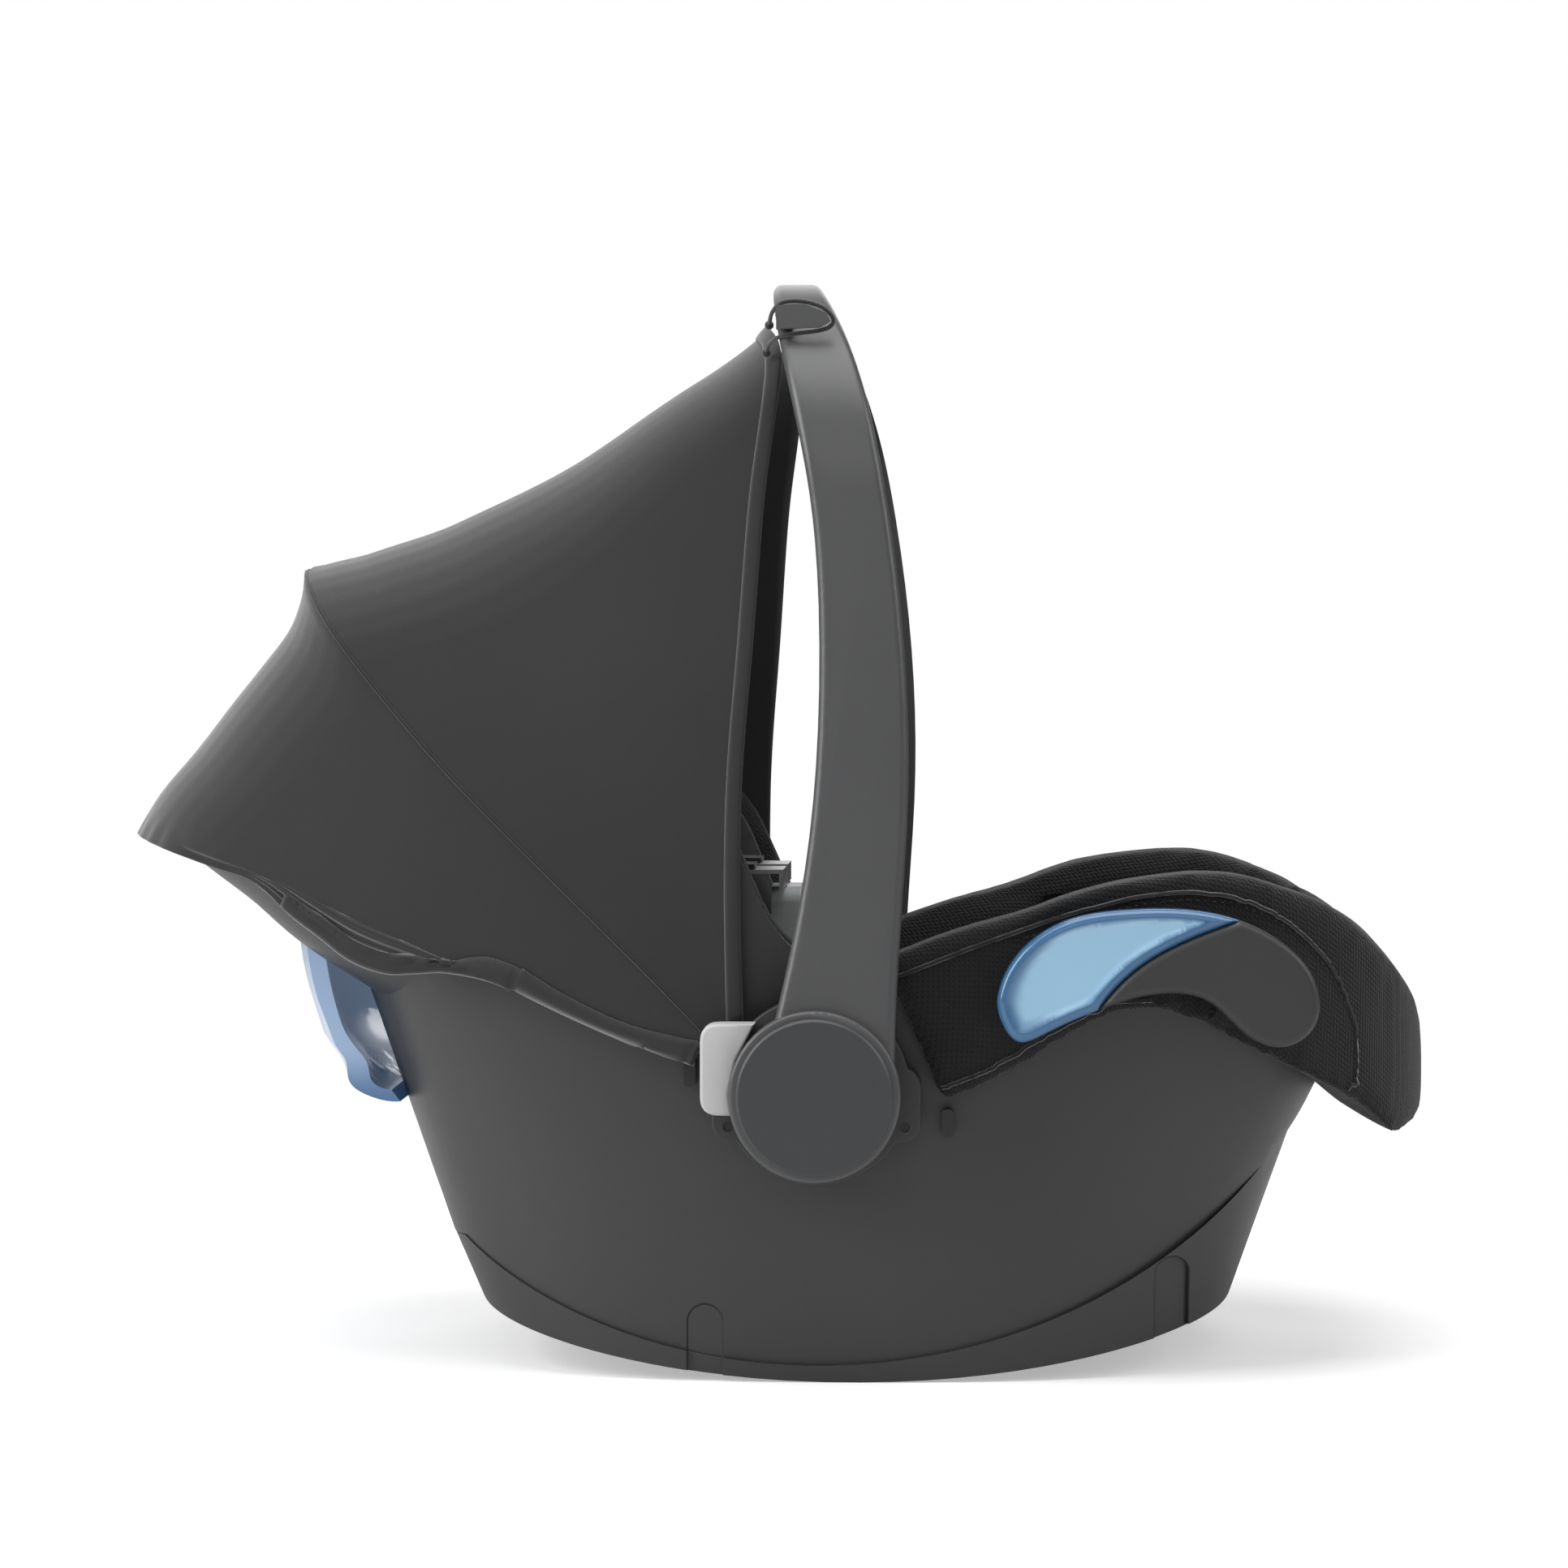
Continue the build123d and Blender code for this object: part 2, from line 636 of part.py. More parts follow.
# ---------------------------------------------------------------- canopy
def fan_section(ridge, foot_half, knee, top_half, corner, inset):
    """An arch in a plane through the fan's point and a ridge point: open foot, round shoulders."""
    away = (ridge[0] - FAN_X, ridge[1] - FAN_Z)
    length = math.hypot(*away)
    away = (away[0] / length, away[1] / length)
    plane = Plane(origin=(FAN_X, 0, FAN_Z), x_dir=(0, 1, 0), z_dir=(away[1], 0, -away[0]))
    high, low, middle, top = length - inset, foot_half - inset, knee[1] - inset, top_half - inset
    left = [(low, FAN_FOOT), (middle, knee[0]), (top, high)]
    right = [(-out, up) for out, up in reversed(left)]
    face = make_face(Polyline(right[-1], *left, *right[:-1], close=True))
    face = fillet(face.vertices().sort_by(Axis.Y)[2:4], KNEE_R)
    return plane * fillet(face.vertices().sort_by(Axis.Y)[-2:], corner - inset)


def fan(stations, inset, ruled=False):
    sections = [fan_section(*station, inset) for station in stations]
    return loft(sections, ruled=ruled)


def below_hem():
    low = 100.0
    behind, ahead = HEM[-1][0] - 30, HEM[0][0] + 40
    corners = [HEM[-1], (behind, low), (ahead, low), (ahead, HEM[0][1]), HEM[0]]
    return side_prism([Spline(*HEM), *[Line(first, last) for first, last in zip(corners, corners[1:])]])


def canopy_panel(stations, ruled):
    cloth = fan(stations, 0.0, ruled) - fan(stations, CLOTH, ruled)
    room = slab(Pos(HUB_X, HUB_Z) * Circle(EAR_R + 3.0), 150.0, 195.0)
    room += slab(offset(ear_outline(), 2.0), 150.0, 195.0)
    return cloth - below_hem() - both(room)


def bow_place(distance):
    """A point along the bow in side view, counted from the fan's point."""
    ridge = CANOPY_FRONT[-1][0]
    away = (ridge[0] - FAN_X, ridge[1] - FAN_Z)
    length = math.hypot(*away)
    return FAN_X + away[0] / length * distance, FAN_Z + away[1] / length * distance


def canopy_bow():
    ridge, foot_half, knee, top_half, corner = CANOPY_FRONT[-1]
    away = (ridge[0] - FAN_X, ridge[1] - FAN_Z)
    length = math.hypot(*away)
    inset = CLOTH + BOW_R + 0.6
    plane = Plane(origin=(FAN_X, 0, FAN_Z), x_dir=(0, 1, 0), z_dir=(away[1] / length, 0, -away[0] / length))
    low, middle, top, high = foot_half - inset, knee[1] - inset, top_half - inset, length - inset
    path = plane * FilletPolyline(
        (-low, BOW_FOOT), (-middle, knee[0]), (-top, high), (top, high), (middle, knee[0]), (low, BOW_FOOT),
        radius=[KNEE_R, corner - inset, corner - inset, KNEE_R],
    )
    rod = sweep(Plane(origin=path @ 0, z_dir=path % 0) * Circle(BOW_R), path=path)
    x, z = bow_place(BOW_FOOT)
    eye = disc(2.6 * BOW_R, low - 1.8, low + 1.8, x, z)
    pins = disc(BOW_PIN_R + RUNNING, 150.0, 200.0, x, z)
    return rod + both(eye) - both(pins)


def bow_pin():
    x, z = bow_place(BOW_FOOT)
    low = CANOPY_FRONT[-1][1] - CLOTH - BOW_R - 0.6
    return disc(BOW_PIN_R, HULL_HALF - 2.0, low + 1.8, x, z) - hull(0.0)


def canopy_peg():
    """The hook near the top of each arm that the canopy's loop goes over."""
    outline = make_face(Polyline(*PEG, close=True))
    tongue = slab(outline, PEG_OUT, PEG_OUT + PEG_THICK)
    stem = slab(make_face(Polyline(*PEG_STEM, close=True)), PEG_OUT - 26.0, PEG_OUT)
    return (tongue + stem) - arch_solid()


def arch_solid():
    return arch_band(0.0, ARM_THICK)


def canopy_loop():
    """The elastic loop from the canopy's corner, round the hook and back."""
    x0, x1, z0, z1 = LOOP
    path = Plane.XZ.offset(PEG_OUT - LOOP_R - 0.4) * FilletPolyline(
        (x0, z1), (x1, z1), (x1, z0), (x0, z0), radius=(z1 - z0) * 0.45
    )
    return sweep(Plane(origin=path @ 0, z_dir=path % 0) * Circle(LOOP_R), path=path)


# ---------------------------------------------------------------- padding
def seat_cover():
    on_liner = WALL + LINER + GAP
    room = tub(on_liner + COVER, LINER + GAP + COVER)
    lining = (tub(on_liner, LINER + GAP) & below_rim(6.0, -8.0)) - room
    collar = (tub(WALL + 2 * GAP, LINER + GAP) & below_rim(6.0, -8.0)) - below_rim(-20.0 + GAP, -20.0 + GAP)
    corner = (COVER_TOP[0][0] + 16, COVER_TOP[0][1] - 20)
    outline = [
        Spline(*COVER_TOP), Line(COVER_TOP[-1], COVER_LOW[0]), Spline(*COVER_LOW),
        Line(COVER_LOW[-1], corner), Line(corner, COVER_TOP[0]),
    ]
    reach = tapered(
        HULL_REAR, COVER_FRONT, HULL_HALF + COVER_PROUD, (HULL_REAR_SLOPE, 0.0, HULL_SIDE_SLOPE), 0.0
    )
    wrap = (side_prism(outline) & reach) - ((hull(GAP) + head_end(GAP)) & below_rim(GAP, GAP)) - room
    cover = lining + (collar - room) + wrap
    ears = disc(EAR_R + 5.0, 150.0, 220.0) + slab(offset(ear_outline(), 3.0), 150.0, 220.0)
    for place in GUIDE_STEMS:
        ears += guide_stem(place, 1.0)
    return cover - both(ears) - slots()


def head_hugger():
    on_cover = WALL + LINER + COVER + 2 * GAP
    pad = tub(on_cover, on_cover - WALL) & below_rim(4.0, -34.0)
    pad -= tub(on_cover + HUGGER, on_cover - WALL + HUGGER * 0.6)
    front = side_prism([Polyline((HUGGER_X, 0), (HUGGER_X, 500), (500, 500), (500, 0), close=True)])
    return pad - front - slots()


# ---------------------------------------------------------------- harness
def web(points, near, far):
    """Webbing that runs along points in side view, between two distances out."""
    return slab(trace(Polyline(*points), WEB_THICK), near, far)


def between(ends, share):
    """The point at a share of the way from one end to the other."""
    return tuple(first + share * (last - first) for first, last in zip(*ends))


def shoulder_run():
    """The open run of a shoulder strap in side view, from its slot to its tongue."""
    tongue = (TONGUE_X - TONGUE_REACH, BUCKLE_TOP + TONGUE_RISE)
    return (SHOULDER_X, floor_z(SHOULDER_X) + STRAP_RISE), tongue


def shoulder_strap():
    under = floor_z(SHOULDER_X)
    line = [(SHOULDER_X + 12.0, under - 26.0), (SHOULDER_X, under - 12.0), *shoulder_run()]
    return web(line, SHOULDER_Y - WEB_WIDE / 2, SHOULDER_Y + WEB_WIDE / 2)


def shoulder_pad():
    ends = [between(shoulder_run(), share) for share in PAD_SPAN]
    half = WEB_WIDE / 2 + PAD_HEM
    pad = slab(trace(Polyline(*ends), PAD_THICK), SHOULDER_Y - half, SHOULDER_Y + half)
    pad = fillet(pad.edges().filter_by(Axis.Y), 0.4 * PAD_THICK)
    beyond = [(x + past, z) for (x, z), past in zip(ends, (-5.0, 5.0))]
    room = WEB_WIDE / 2 + 0.5
    return pad - slab(trace(Polyline(*beyond), WEB_THICK + PAD_PLAY), SHOULDER_Y - room, SHOULDER_Y + room)


def key_place():
    """Where the buckle's key sits on its front face."""
    return BUCKLE_X + BUCKLE_DEEP / 2, BUCKLE_TOP - KEY_DOWN


def buckle_body():
    case = block(BUCKLE_DEEP, BUCKLE_WIDE, BUCKLE_HIGH, (BUCKLE_X, 0, BUCKLE_TOP - BUCKLE_HIGH / 2))
    case = fillet(case.edges().filter_by(Axis.X), BUCKLE_CORNER_R)
    case = fillet(case.faces().sort_by(Axis.X)[-1].edges(), BUCKLE_EDGE_R)
    x, z = key_place()
    case -= block(2 * BUTTON_DEEP, KEY_WIDE + 1.0, KEY_HIGH + 1.0, (x, 0, z))
    for side in (-1, 1):
        mouth = (TONGUE_X, side * TONGUE_Y, BUCKLE_TOP)
        case -= block(TONGUE_THICK + 0.8, TONGUE_WIDE + 1.0, 2 * TONGUE_DEEP, mouth)
    return case - block(WEB_THICK + 0.6, WEB_WIDE - 8.0, 16.0, (BUCKLE_X, 0, BUCKLE_TOP - BUCKLE_HIGH))


def buckle_button():
    x, z = key_place()
    key = block(BUTTON_DEEP - 4.0, KEY_WIDE, KEY_HIGH, (x - BUTTON_DEEP / 2 + 1.5, 0, z))
    return fillet(key.edges().filter_by(Axis.X), KEY_CORNER_R)


def buckle_tongue():
    """A steel blade on an angle plate that hangs from its shoulder strap."""
    out, wide = 6.0 - SHOULDER_Y, WEB_WIDE + 10.0
    inside = (TONGUE_X, -TONGUE_Y, BUCKLE_TOP - TONGUE_DEEP / 2 + 0.5)
    blade = block(TONGUE_THICK, TONGUE_WIDE, TONGUE_DEEP - 1.0, inside)
    plate = block(TONGUE_THICK, wide, 8.0, (TONGUE_X, out, BUCKLE_TOP + 4.0))
    arm = block(20.0, wide, TONGUE_THICK, (TONGUE_X - 10.0 + TONGUE_THICK / 2, out, BUCKLE_TOP + 9.0))
    return blade + plate + arm


def crotch_run():
    """The open run of the crotch strap in side view, from its slot to the buckle."""
    return (CROTCH_X, floor_z(CROTCH_X) + CROTCH_RISE), (BUCKLE_X, BUCKLE_TOP - BUCKLE_HIGH - 2.0)


def crotch_strap():
    under = floor_z(CROTCH_X) - 12.0
    low, high = crotch_run()
    half = WEB_WIDE / 2 - 5.0
    strap = web([(CROTCH_X, under), low, high, (high[0], high[1] + 9.0)], -half, half)
    return strap + block(16.0, WEB_WIDE + 18.0, 2.4, (CROTCH_X, 0, under + 1.0))


def crotch_pad():
    run = crotch_run()
    ends = [between(run, share) for share in CROTCH_SPAN]
    beyond = [between(run, share) for share in (CROTCH_SPAN[0] - 0.1, CROTCH_SPAN[1] + 0.1)]
    half = WEB_WIDE / 2 + 3.0
    room = WEB_WIDE / 2 - 4.5
    pad = slab(trace(Polyline(*ends), PAD_THICK), -half, half)
    return pad - slab(trace(Polyline(*beyond), WEB_THICK + PAD_PLAY), -room, room)


def harness_yoke():
    """The steel plate behind the back that joins both shoulder straps to the adjuster strap."""
    place = (SHOULDER_X + 14.0, 0, floor_z(SHOULDER_X) - YOKE_DROP)
    return block(22.0, 2 * SHOULDER_Y + WEB_WIDE + 8.0, 3.0, place)


def adjuster_strap():
    """From the yoke along the underside to the adjuster, and out on to the cover."""
    on_cover = LINER + COVER
    line = [(SHOULDER_X + 26.0, floor_z(SHOULDER_X) - YOKE_DROP)]
    line += [(x, floor_z(x) - STRAP_DROP) for x in (-150.0, -100.0, -50.0, 0.0, 50.0, 110.0, 170.0)]
    rises = ((0.0, -14.0), (0.0, on_cover + 20.0), (26.0, on_cover + 14.0), (50.0, on_cover + 6.0))
    line += [(ADJUST_X + past, floor_z(ADJUST_X + past) + rise) for past, rise in rises]
    return web(line, -ADJUST_HALF, ADJUST_HALF)


def on_adjuster(back, rise):
    """A place on the adjuster, tilted as the seat is there: back from its slot, above the cover."""
    tilt = math.atan((floor_z(ADJUST_X + 20.0) - floor_z(ADJUST_X - 20.0)) / 40.0)
    z = floor_z(ADJUST_X) + LINER + COVER + GAP + rise - back * math.tan(tilt)
    return Pos(ADJUST_X - back, 0, z) * Rot(0, -math.degrees(tilt), 0)


def adjuster_housing():
    case = on_adjuster(0.0, 6.0) * Box(34.0, 46.0, 9.0)
    middle = (ADJUST_X, 0, floor_z(ADJUST_X) + LINER + COVER + GAP + 6.0)
    slot = block(WEB_THICK + 1.6, 2 * ADJUST_HALF + 2.0, 40.0, middle)
    return case - slot - on_adjuster(ADJUST_KEY_BACK, 9.0) * Box(11.0, 22.0, 9.0)


def adjuster_button():
    return on_adjuster(ADJUST_KEY_BACK, 9.0) * Pos(0, 0, 0.6) * Box(10.0, 21.0, 7.0)


# ---------------------------------------------------------------- belt guides
def guide_outline():
    return make_face([Spline(*GUIDE_EDGE, GUIDE_EDGE[0])])


def guide_stem(place, play=0.0):
    """The web that joins a belt guide to the shell's wall."""
    x, z, wide, high = place
    return slab(Pos(x, z) * RectangleRounded(wide + 2 * play, high + 2 * play, 4.0 + play), 120.0, GUIDE_IN)


def guide_foot_half():
    """The region of the guide on the foot side of its parting line."""
    first, last = GUIDE_SPLIT[0], GUIDE_SPLIT[-1]
    far = (last[0] + 60, last[1])
    low = first[1] - 40
    return make_face([Spline(*GUIDE_SPLIT), Polyline(last, far, (far[0], low), (first[0], low), first)])


def guide_plate(outline):
    plate = slab(outline, GUIDE_IN, GUIDE_OUT)
    return fillet(plate.faces().sort_by(Axis.Y)[0].edges(), GUIDE_EDGE_R)


def belt_guide_blue():
    return guide_plate(guide_outline() - guide_foot_half()) + (guide_stem(GUIDE_STEMS[0]) - hull(0.0))


def belt_guide_cover():
    return guide_plate(guide_outline() & guide_foot_half()) + (guide_stem(GUIDE_STEMS[1]) - hull(0.0))


def rear_guide():
    """The hooked blade behind the head end that takes the diagonal belt."""
    outer = Spline(*REAR_GUIDE_OUT)
    inner = Spline(*REAR_GUIDE_IN)
    foot = Line(REAR_GUIDE_OUT[-1], REAR_GUIDE_IN[0])
    top = Line(REAR_GUIDE_IN[-1], REAR_GUIDE_OUT[0])
    blade = side_prism([outer, foot, inner, top], REAR_GUIDE_HALF)
    return blade - (head_end(0.0) + hull(0.0))


def cloth_hook(x, z):
    """A small plastic hook that holds a cloth edge in its slot in the shell."""
    return slab(Pos(x, z) * RectangleRounded(6.0, 14.0, 2.0), HOOK_IN, HOOK_IN + 5.0)


# ---------------------------------------------------------------- all nodes
def main():
    save("shell", shell())
    save("foam_liner", liner())
    save("seat_cover", seat_cover())
    save("head_hugger", head_hugger())
    save_pair("hub_plate", hub_plate())
    save_pair("plate_screws", plate_screws())
    save_pair("pivot_axle", axle())
    save_pair("release_button", release_button())
    save_pair("latch_fork", latch_fork())
    save_pair("button_spring", button_spring())
    save("handle_frame", handle_frame())
    save("handle_lining", handle_lining())
    save_pair("hub_cap", hub_cap())
    save_pair("canopy_peg", canopy_peg())
    save_pair("canopy_loop", canopy_loop())
    save("canopy_front", canopy_panel(CANOPY_FRONT, False))
    save("canopy_rear", canopy_panel(CANOPY_REAR, True))
    save("canopy_bow", canopy_bow())
    save_pair("bow_pin", bow_pin())
    save_pair("shoulder_strap", shoulder_strap())
    save_pair("shoulder_pad", shoulder_pad())
    save("buckle_body", buckle_body())
    save("buckle_button", buckle_button())
    save_pair("buckle_tongue", buckle_tongue())
    save("crotch_strap", crotch_strap())
    save("crotch_pad", crotch_pad())
    save("harness_yoke", harness_yoke())
    save("adjuster_strap", adjuster_strap())
    save("adjuster_housing", adjuster_housing())
    save("adjuster_button", adjuster_button())
    save_pair("belt_guide_blue", belt_guide_blue())
    save_pair("belt_guide_cover", belt_guide_cover())
    save("rear_belt_guide", rear_guide())
    save_pair("canopy_hook", cloth_hook(*CANOPY_HOOK) - hull(0.0))
    save_pair("cover_hook", cloth_hook(*COVER_HOOK) - hull(0.0))


main()
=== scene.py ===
"""Looks of the infant car seat: cloth, padding, finishes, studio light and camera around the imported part.

+X is the foot end, -X the head end, -Y the right side, +Y the left side and +Z up. Meshes are in metres.
Tables of places are in millimetres and degrees.
"""

import json
import math

import bmesh
import bpy
from mathutils import Matrix, Vector, noise
from mathutils.bvhtree import BVHTree

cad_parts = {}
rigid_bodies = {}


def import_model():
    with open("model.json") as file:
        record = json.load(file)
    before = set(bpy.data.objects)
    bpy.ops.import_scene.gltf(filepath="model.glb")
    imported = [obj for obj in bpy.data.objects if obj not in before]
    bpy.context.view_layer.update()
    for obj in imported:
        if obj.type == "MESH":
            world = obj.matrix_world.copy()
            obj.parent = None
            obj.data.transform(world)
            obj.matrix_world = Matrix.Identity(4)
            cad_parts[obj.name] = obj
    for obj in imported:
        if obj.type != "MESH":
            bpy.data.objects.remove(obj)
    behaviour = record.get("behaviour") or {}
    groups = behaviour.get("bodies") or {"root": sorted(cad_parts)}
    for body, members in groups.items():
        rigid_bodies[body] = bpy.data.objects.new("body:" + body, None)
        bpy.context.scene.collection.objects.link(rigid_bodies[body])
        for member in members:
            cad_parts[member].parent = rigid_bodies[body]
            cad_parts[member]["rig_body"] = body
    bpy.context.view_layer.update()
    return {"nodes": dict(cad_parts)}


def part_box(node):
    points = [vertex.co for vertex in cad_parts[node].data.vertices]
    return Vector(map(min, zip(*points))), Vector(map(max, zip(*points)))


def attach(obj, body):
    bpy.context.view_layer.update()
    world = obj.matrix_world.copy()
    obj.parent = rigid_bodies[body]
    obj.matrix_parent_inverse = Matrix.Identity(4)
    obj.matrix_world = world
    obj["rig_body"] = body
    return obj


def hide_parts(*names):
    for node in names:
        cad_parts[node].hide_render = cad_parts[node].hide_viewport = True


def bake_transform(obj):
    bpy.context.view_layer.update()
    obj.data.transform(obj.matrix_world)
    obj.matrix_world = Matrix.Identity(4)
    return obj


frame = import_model()

MM = 0.001
SIDES = (("right", -1), ("left", 1))


# ---------------------------------------------------------------- sums on tables and lines
def read(table, at):
    """Values between a table's rows, smooth through each of them. A row is its place and then its values."""
    at = min(max(at, table[0][0]), table[-1][0])
    row = max(i for i in range(len(table) - 1) if table[i][0] <= at)
    low, high = table[row], table[row + 1]
    step = high[0] - low[0]
    t = (at - low[0]) / step
    before, after = table[max(row - 1, 0)], table[min(row + 2, len(table) - 1)]
    values = []
    for k in range(1, len(low)):
        rise_low = (high[k] - before[k]) / (high[0] - before[0]) * step
        rise_high = (after[k] - low[k]) / (after[0] - low[0]) * step
        values.append(
            low[k] * (1 + 2 * t) * (1 - t) ** 2 + rise_low * t * (1 - t) ** 2
            + high[k] * t * t * (3 - 2 * t) + rise_high * t * t * (t - 1)
        )
    return values[0] if len(values) == 1 else values


def ease(t):
    """A smooth step from 0 to 1."""
    t = min(max(t, 0.0), 1.0)
    return t * t * (3 - 2 * t)


def rounded(corners, radii, steps=8):
    """A line through corners, each inner corner eased over its radius."""
    line = [Vector(corners[0])]
    for before, corner, after, radius in zip(corners, corners[1:], corners[2:], radii):
        corner, a, b = Vector(corner), Vector(before), Vector(after)
        start = corner + (a - corner).normalized() * radius
        end = corner + (b - corner).normalized() * radius
        for i in range(steps + 1):
            t = i / steps
            line.append(start * (1 - t) ** 2 + corner * 2 * t * (1 - t) + end * t * t)
    return line + [Vector(corners[-1])]


def walk(line, share):
    """The point a share of the way along a line."""
    lengths = [(b - a).length for a, b in zip(line, line[1:])]
    left = share * sum(lengths)
    for a, b, length in zip(line, line[1:], lengths):
        if left <= length or b is line[-1]:
            return a.lerp(b, min(left / max(length, 1e-9), 1.0))
        left -= length
    return line[-1]


def curve_through(points, count):
    """Evenly shared points on a smooth line through points."""
    rows = [(i, *p) for i, p in enumerate(points)]
    return [Vector(read(rows, i * (len(points) - 1) / (count - 1))) for i in range(count)]


# ---------------------------------------------------------------- finishes
class Wire:
    """One number or vector in a finish; sums written on it add Math nodes."""

    def __init__(self, finish, socket):
        self.finish, self.socket = finish, socket

    def math(self, operation, *others):
        values = dict(enumerate((self, *others)))
        return self.finish.node("ShaderNodeMath", {"operation": operation}, values)

    def __add__(self, other):
        return self.math("ADD", other)

    def __sub__(self, other):
        return self.math("SUBTRACT", other)

    def __rsub__(self, other):
        return self * -1.0 + other

    def __mul__(self, other):
        return self.math("MULTIPLY", other)

    __radd__ = __add__
    __rmul__ = __mul__


class Finish:
    """A material made of nodes that read an object's own coordinates."""

    def __init__(self, name, **shader):
        self.material = bpy.data.materials.new(name)
        self.material.use_nodes = True
        self.tree = self.material.node_tree
        self.shader = self.tree.nodes["Principled BSDF"]
        for key, value in shader.items():
            self.put(value, self.shader.inputs[key.replace("_", " ")])

    def put(self, value, socket):
        if isinstance(value, Wire):
            self.tree.links.new(value.socket, socket)
        else:
            socket.default_value = value

    def node(self, kind, settings=None, values=None, output=0):
        """One node: its settings first, then the values or links of its sockets."""
        made = self.tree.nodes.new(kind)
        for key, value in (settings or {}).items():
            if key == "stops":
                for place, level in value[2:]:
                    made.color_ramp.elements.new(place)
                for stop, (place, level) in zip(made.color_ramp.elements, sorted(value)):
                    stop.position, stop.color = place, (level, level, level, 1)
            else:
                setattr(made, key, value)
        for key, value in (values or {}).items():
            self.put(value, made.inputs[key])
        return Wire(self, made.outputs[output])

    def coordinates(self):
        """Where the surface is, in metres."""
        return self.node("ShaderNodeTexCoord", output="Object")

    def axes(self, vector):
        split = self.node("ShaderNodeSeparateXYZ", values={0: vector})
        return [Wire(self, split.socket.node.outputs[k]) for k in range(3)]

    def cloudy(self, scale, detail=3.0):
        values = {"Vector": self.coordinates(), "Scale": scale, "Detail": detail, "Roughness": 0.55}
        return self.node("ShaderNodeTexNoise", values=values)

    def crossed(self, pitch):
        """Waves of a pitch along the three diagonals, added up: from -3 to 3."""
        x, y, z = self.axes(self.coordinates())
        turns = 2 * math.pi / pitch
        first, second, third = (((a + b) * turns).math("SINE") for a, b in ((x, y), (y, z), (x, z)))
        return first + second + third

    def rising(self, wire, low, high, kind="LINEAR"):
        """0 where a wire is at low or under it, and 1 where it is at high or over it."""
        ends = {0: wire, 1: low, 2: high, 3: 0.0, 4: 1.0}
        return self.node("ShaderNodeMapRange", {"interpolation_type": kind}, ends)

    def between(self, low, high, share):
        """A colour between two."""
        ends = {"Factor": share, 6: (*low, 1), 7: (*high, 1)}
        return self.node("ShaderNodeMix", {"data_type": "RGBA"}, ends, 2)

    def colour(self, wire):
        self.put(wire, self.shader.inputs["Base Color"])

    def rough(self, wire):
        self.put(wire, self.shader.inputs["Roughness"])

    def relief(self, height, depth, under=None):
        """Bumps of a height wire, the depth in metres."""
        values = {"Height": height, "Distance": depth, "Strength": 1.0}
        if under is not None:
            values["Normal"] = under
        bump = self.node("ShaderNodeBump", values=values)
        self.put(bump, self.shader.inputs["Normal"])
        return bump


# The round-topped stops recessed in the shell's sides, in metres: half width, depth and half the edge's
# slope. Each stop is its middle's x and its top.
STOP_HALF, STOP_DEPTH, STOP_SLOPE = 0.009, 0.0016, 0.0006
STOPS = ((-0.0305, 0.039), (0.206, 0.061))


def moulded(name, dark, light, rough, grain=1400.0, depth=0.00006, stops=()):
    """Spark-eroded plastic: a fine grain, and gloss that varies where hands have been."""
    finish = Finish(name)
    speckle, haze = finish.cloudy(grain, 2.0), finish.cloudy(14.0, 4.0)
    finish.colour(finish.between(dark, light, speckle * 0.55 + haze * 0.45))
    finish.rough(haze * 0.10 + (rough - 0.05) + speckle * 0.05)
    grained = finish.relief(speckle, depth)
    if stops:
        x, _, z = finish.axes(finish.coordinates())
        proud = None
        for middle, top in stops:
            across, above = x - middle, (z - (top - STOP_HALF)).math("MAXIMUM", 0.0)
            reach = (across * across + above * above).math("SQRT")
            edge = finish.rising(reach, STOP_HALF - STOP_SLOPE, STOP_HALF + STOP_SLOPE, "SMOOTHSTEP")
            proud = edge if proud is None else proud * edge
        finish.relief(proud, STOP_DEPTH, under=grained)
    return finish.material


def woven(name, dark, light, pitch, sheen=0.45, rough=0.85, depth=0.0001):
    """Close stretch cloth: a twill of fine threads across the whole surface."""
    finish = Finish(name, Sheen_Weight=sheen, Sheen_Roughness=0.5, Specular_IOR_Level=0.25)
    threads = finish.crossed(pitch) * 0.166 + 0.5
    fuzz, haze = finish.cloudy(2600.0, 2.0), finish.cloudy(22.0)
    finish.colour(finish.between(dark, light, threads * 0.3 + fuzz * 0.4 + haze * 0.3))
    finish.rough(fuzz * 0.1 + (rough - 0.05))
    finish.relief(threads * 0.7 + fuzz * 0.3, depth)
    return finish.material


def open_mesh(name, dark, light, pitch):
    """Spacer mesh: a lattice of small eyelets between raised yarns."""
    finish = Finish(name, Sheen_Weight=0.15, Sheen_Roughness=0.4, Specular_IOR_Level=0.3)
    eyelets = finish.rising(finish.crossed(pitch), -1.4, 0.6)
    fuzz, haze = finish.cloudy(1800.0, 2.0), finish.cloudy(16.0)
    finish.colour(finish.between(dark, light, eyelets * 0.6 + fuzz * 0.2 + haze * 0.2))
    finish.rough(0.72 + eyelets * 0.12)
    finish.relief(eyelets, 0.00035)
    return finish.material


WEB_PITCH = 0.0016


def ribbed_web(name, dark, light):
    """Belt webbing: close ribs across, with a fine twist along."""
    finish = Finish(name, Sheen_Weight=0.2, Specular_IOR_Level=0.4)
    x, y, z = finish.axes(finish.coordinates())
    turns = 2 * math.pi / WEB_PITCH
    ribs = (y * turns).math("SINE") * ((x - z) * turns * 0.5).math("SINE")
    fuzz = finish.cloudy(2200.0, 2.0)
    finish.colour(finish.between(dark, light, ribs * 0.3 + fuzz * 0.5 + 0.1))
    finish.rough(0.62 + fuzz * 0.15)
    finish.relief(ribs * 0.5 + 0.5, 0.00025)
    return finish.material


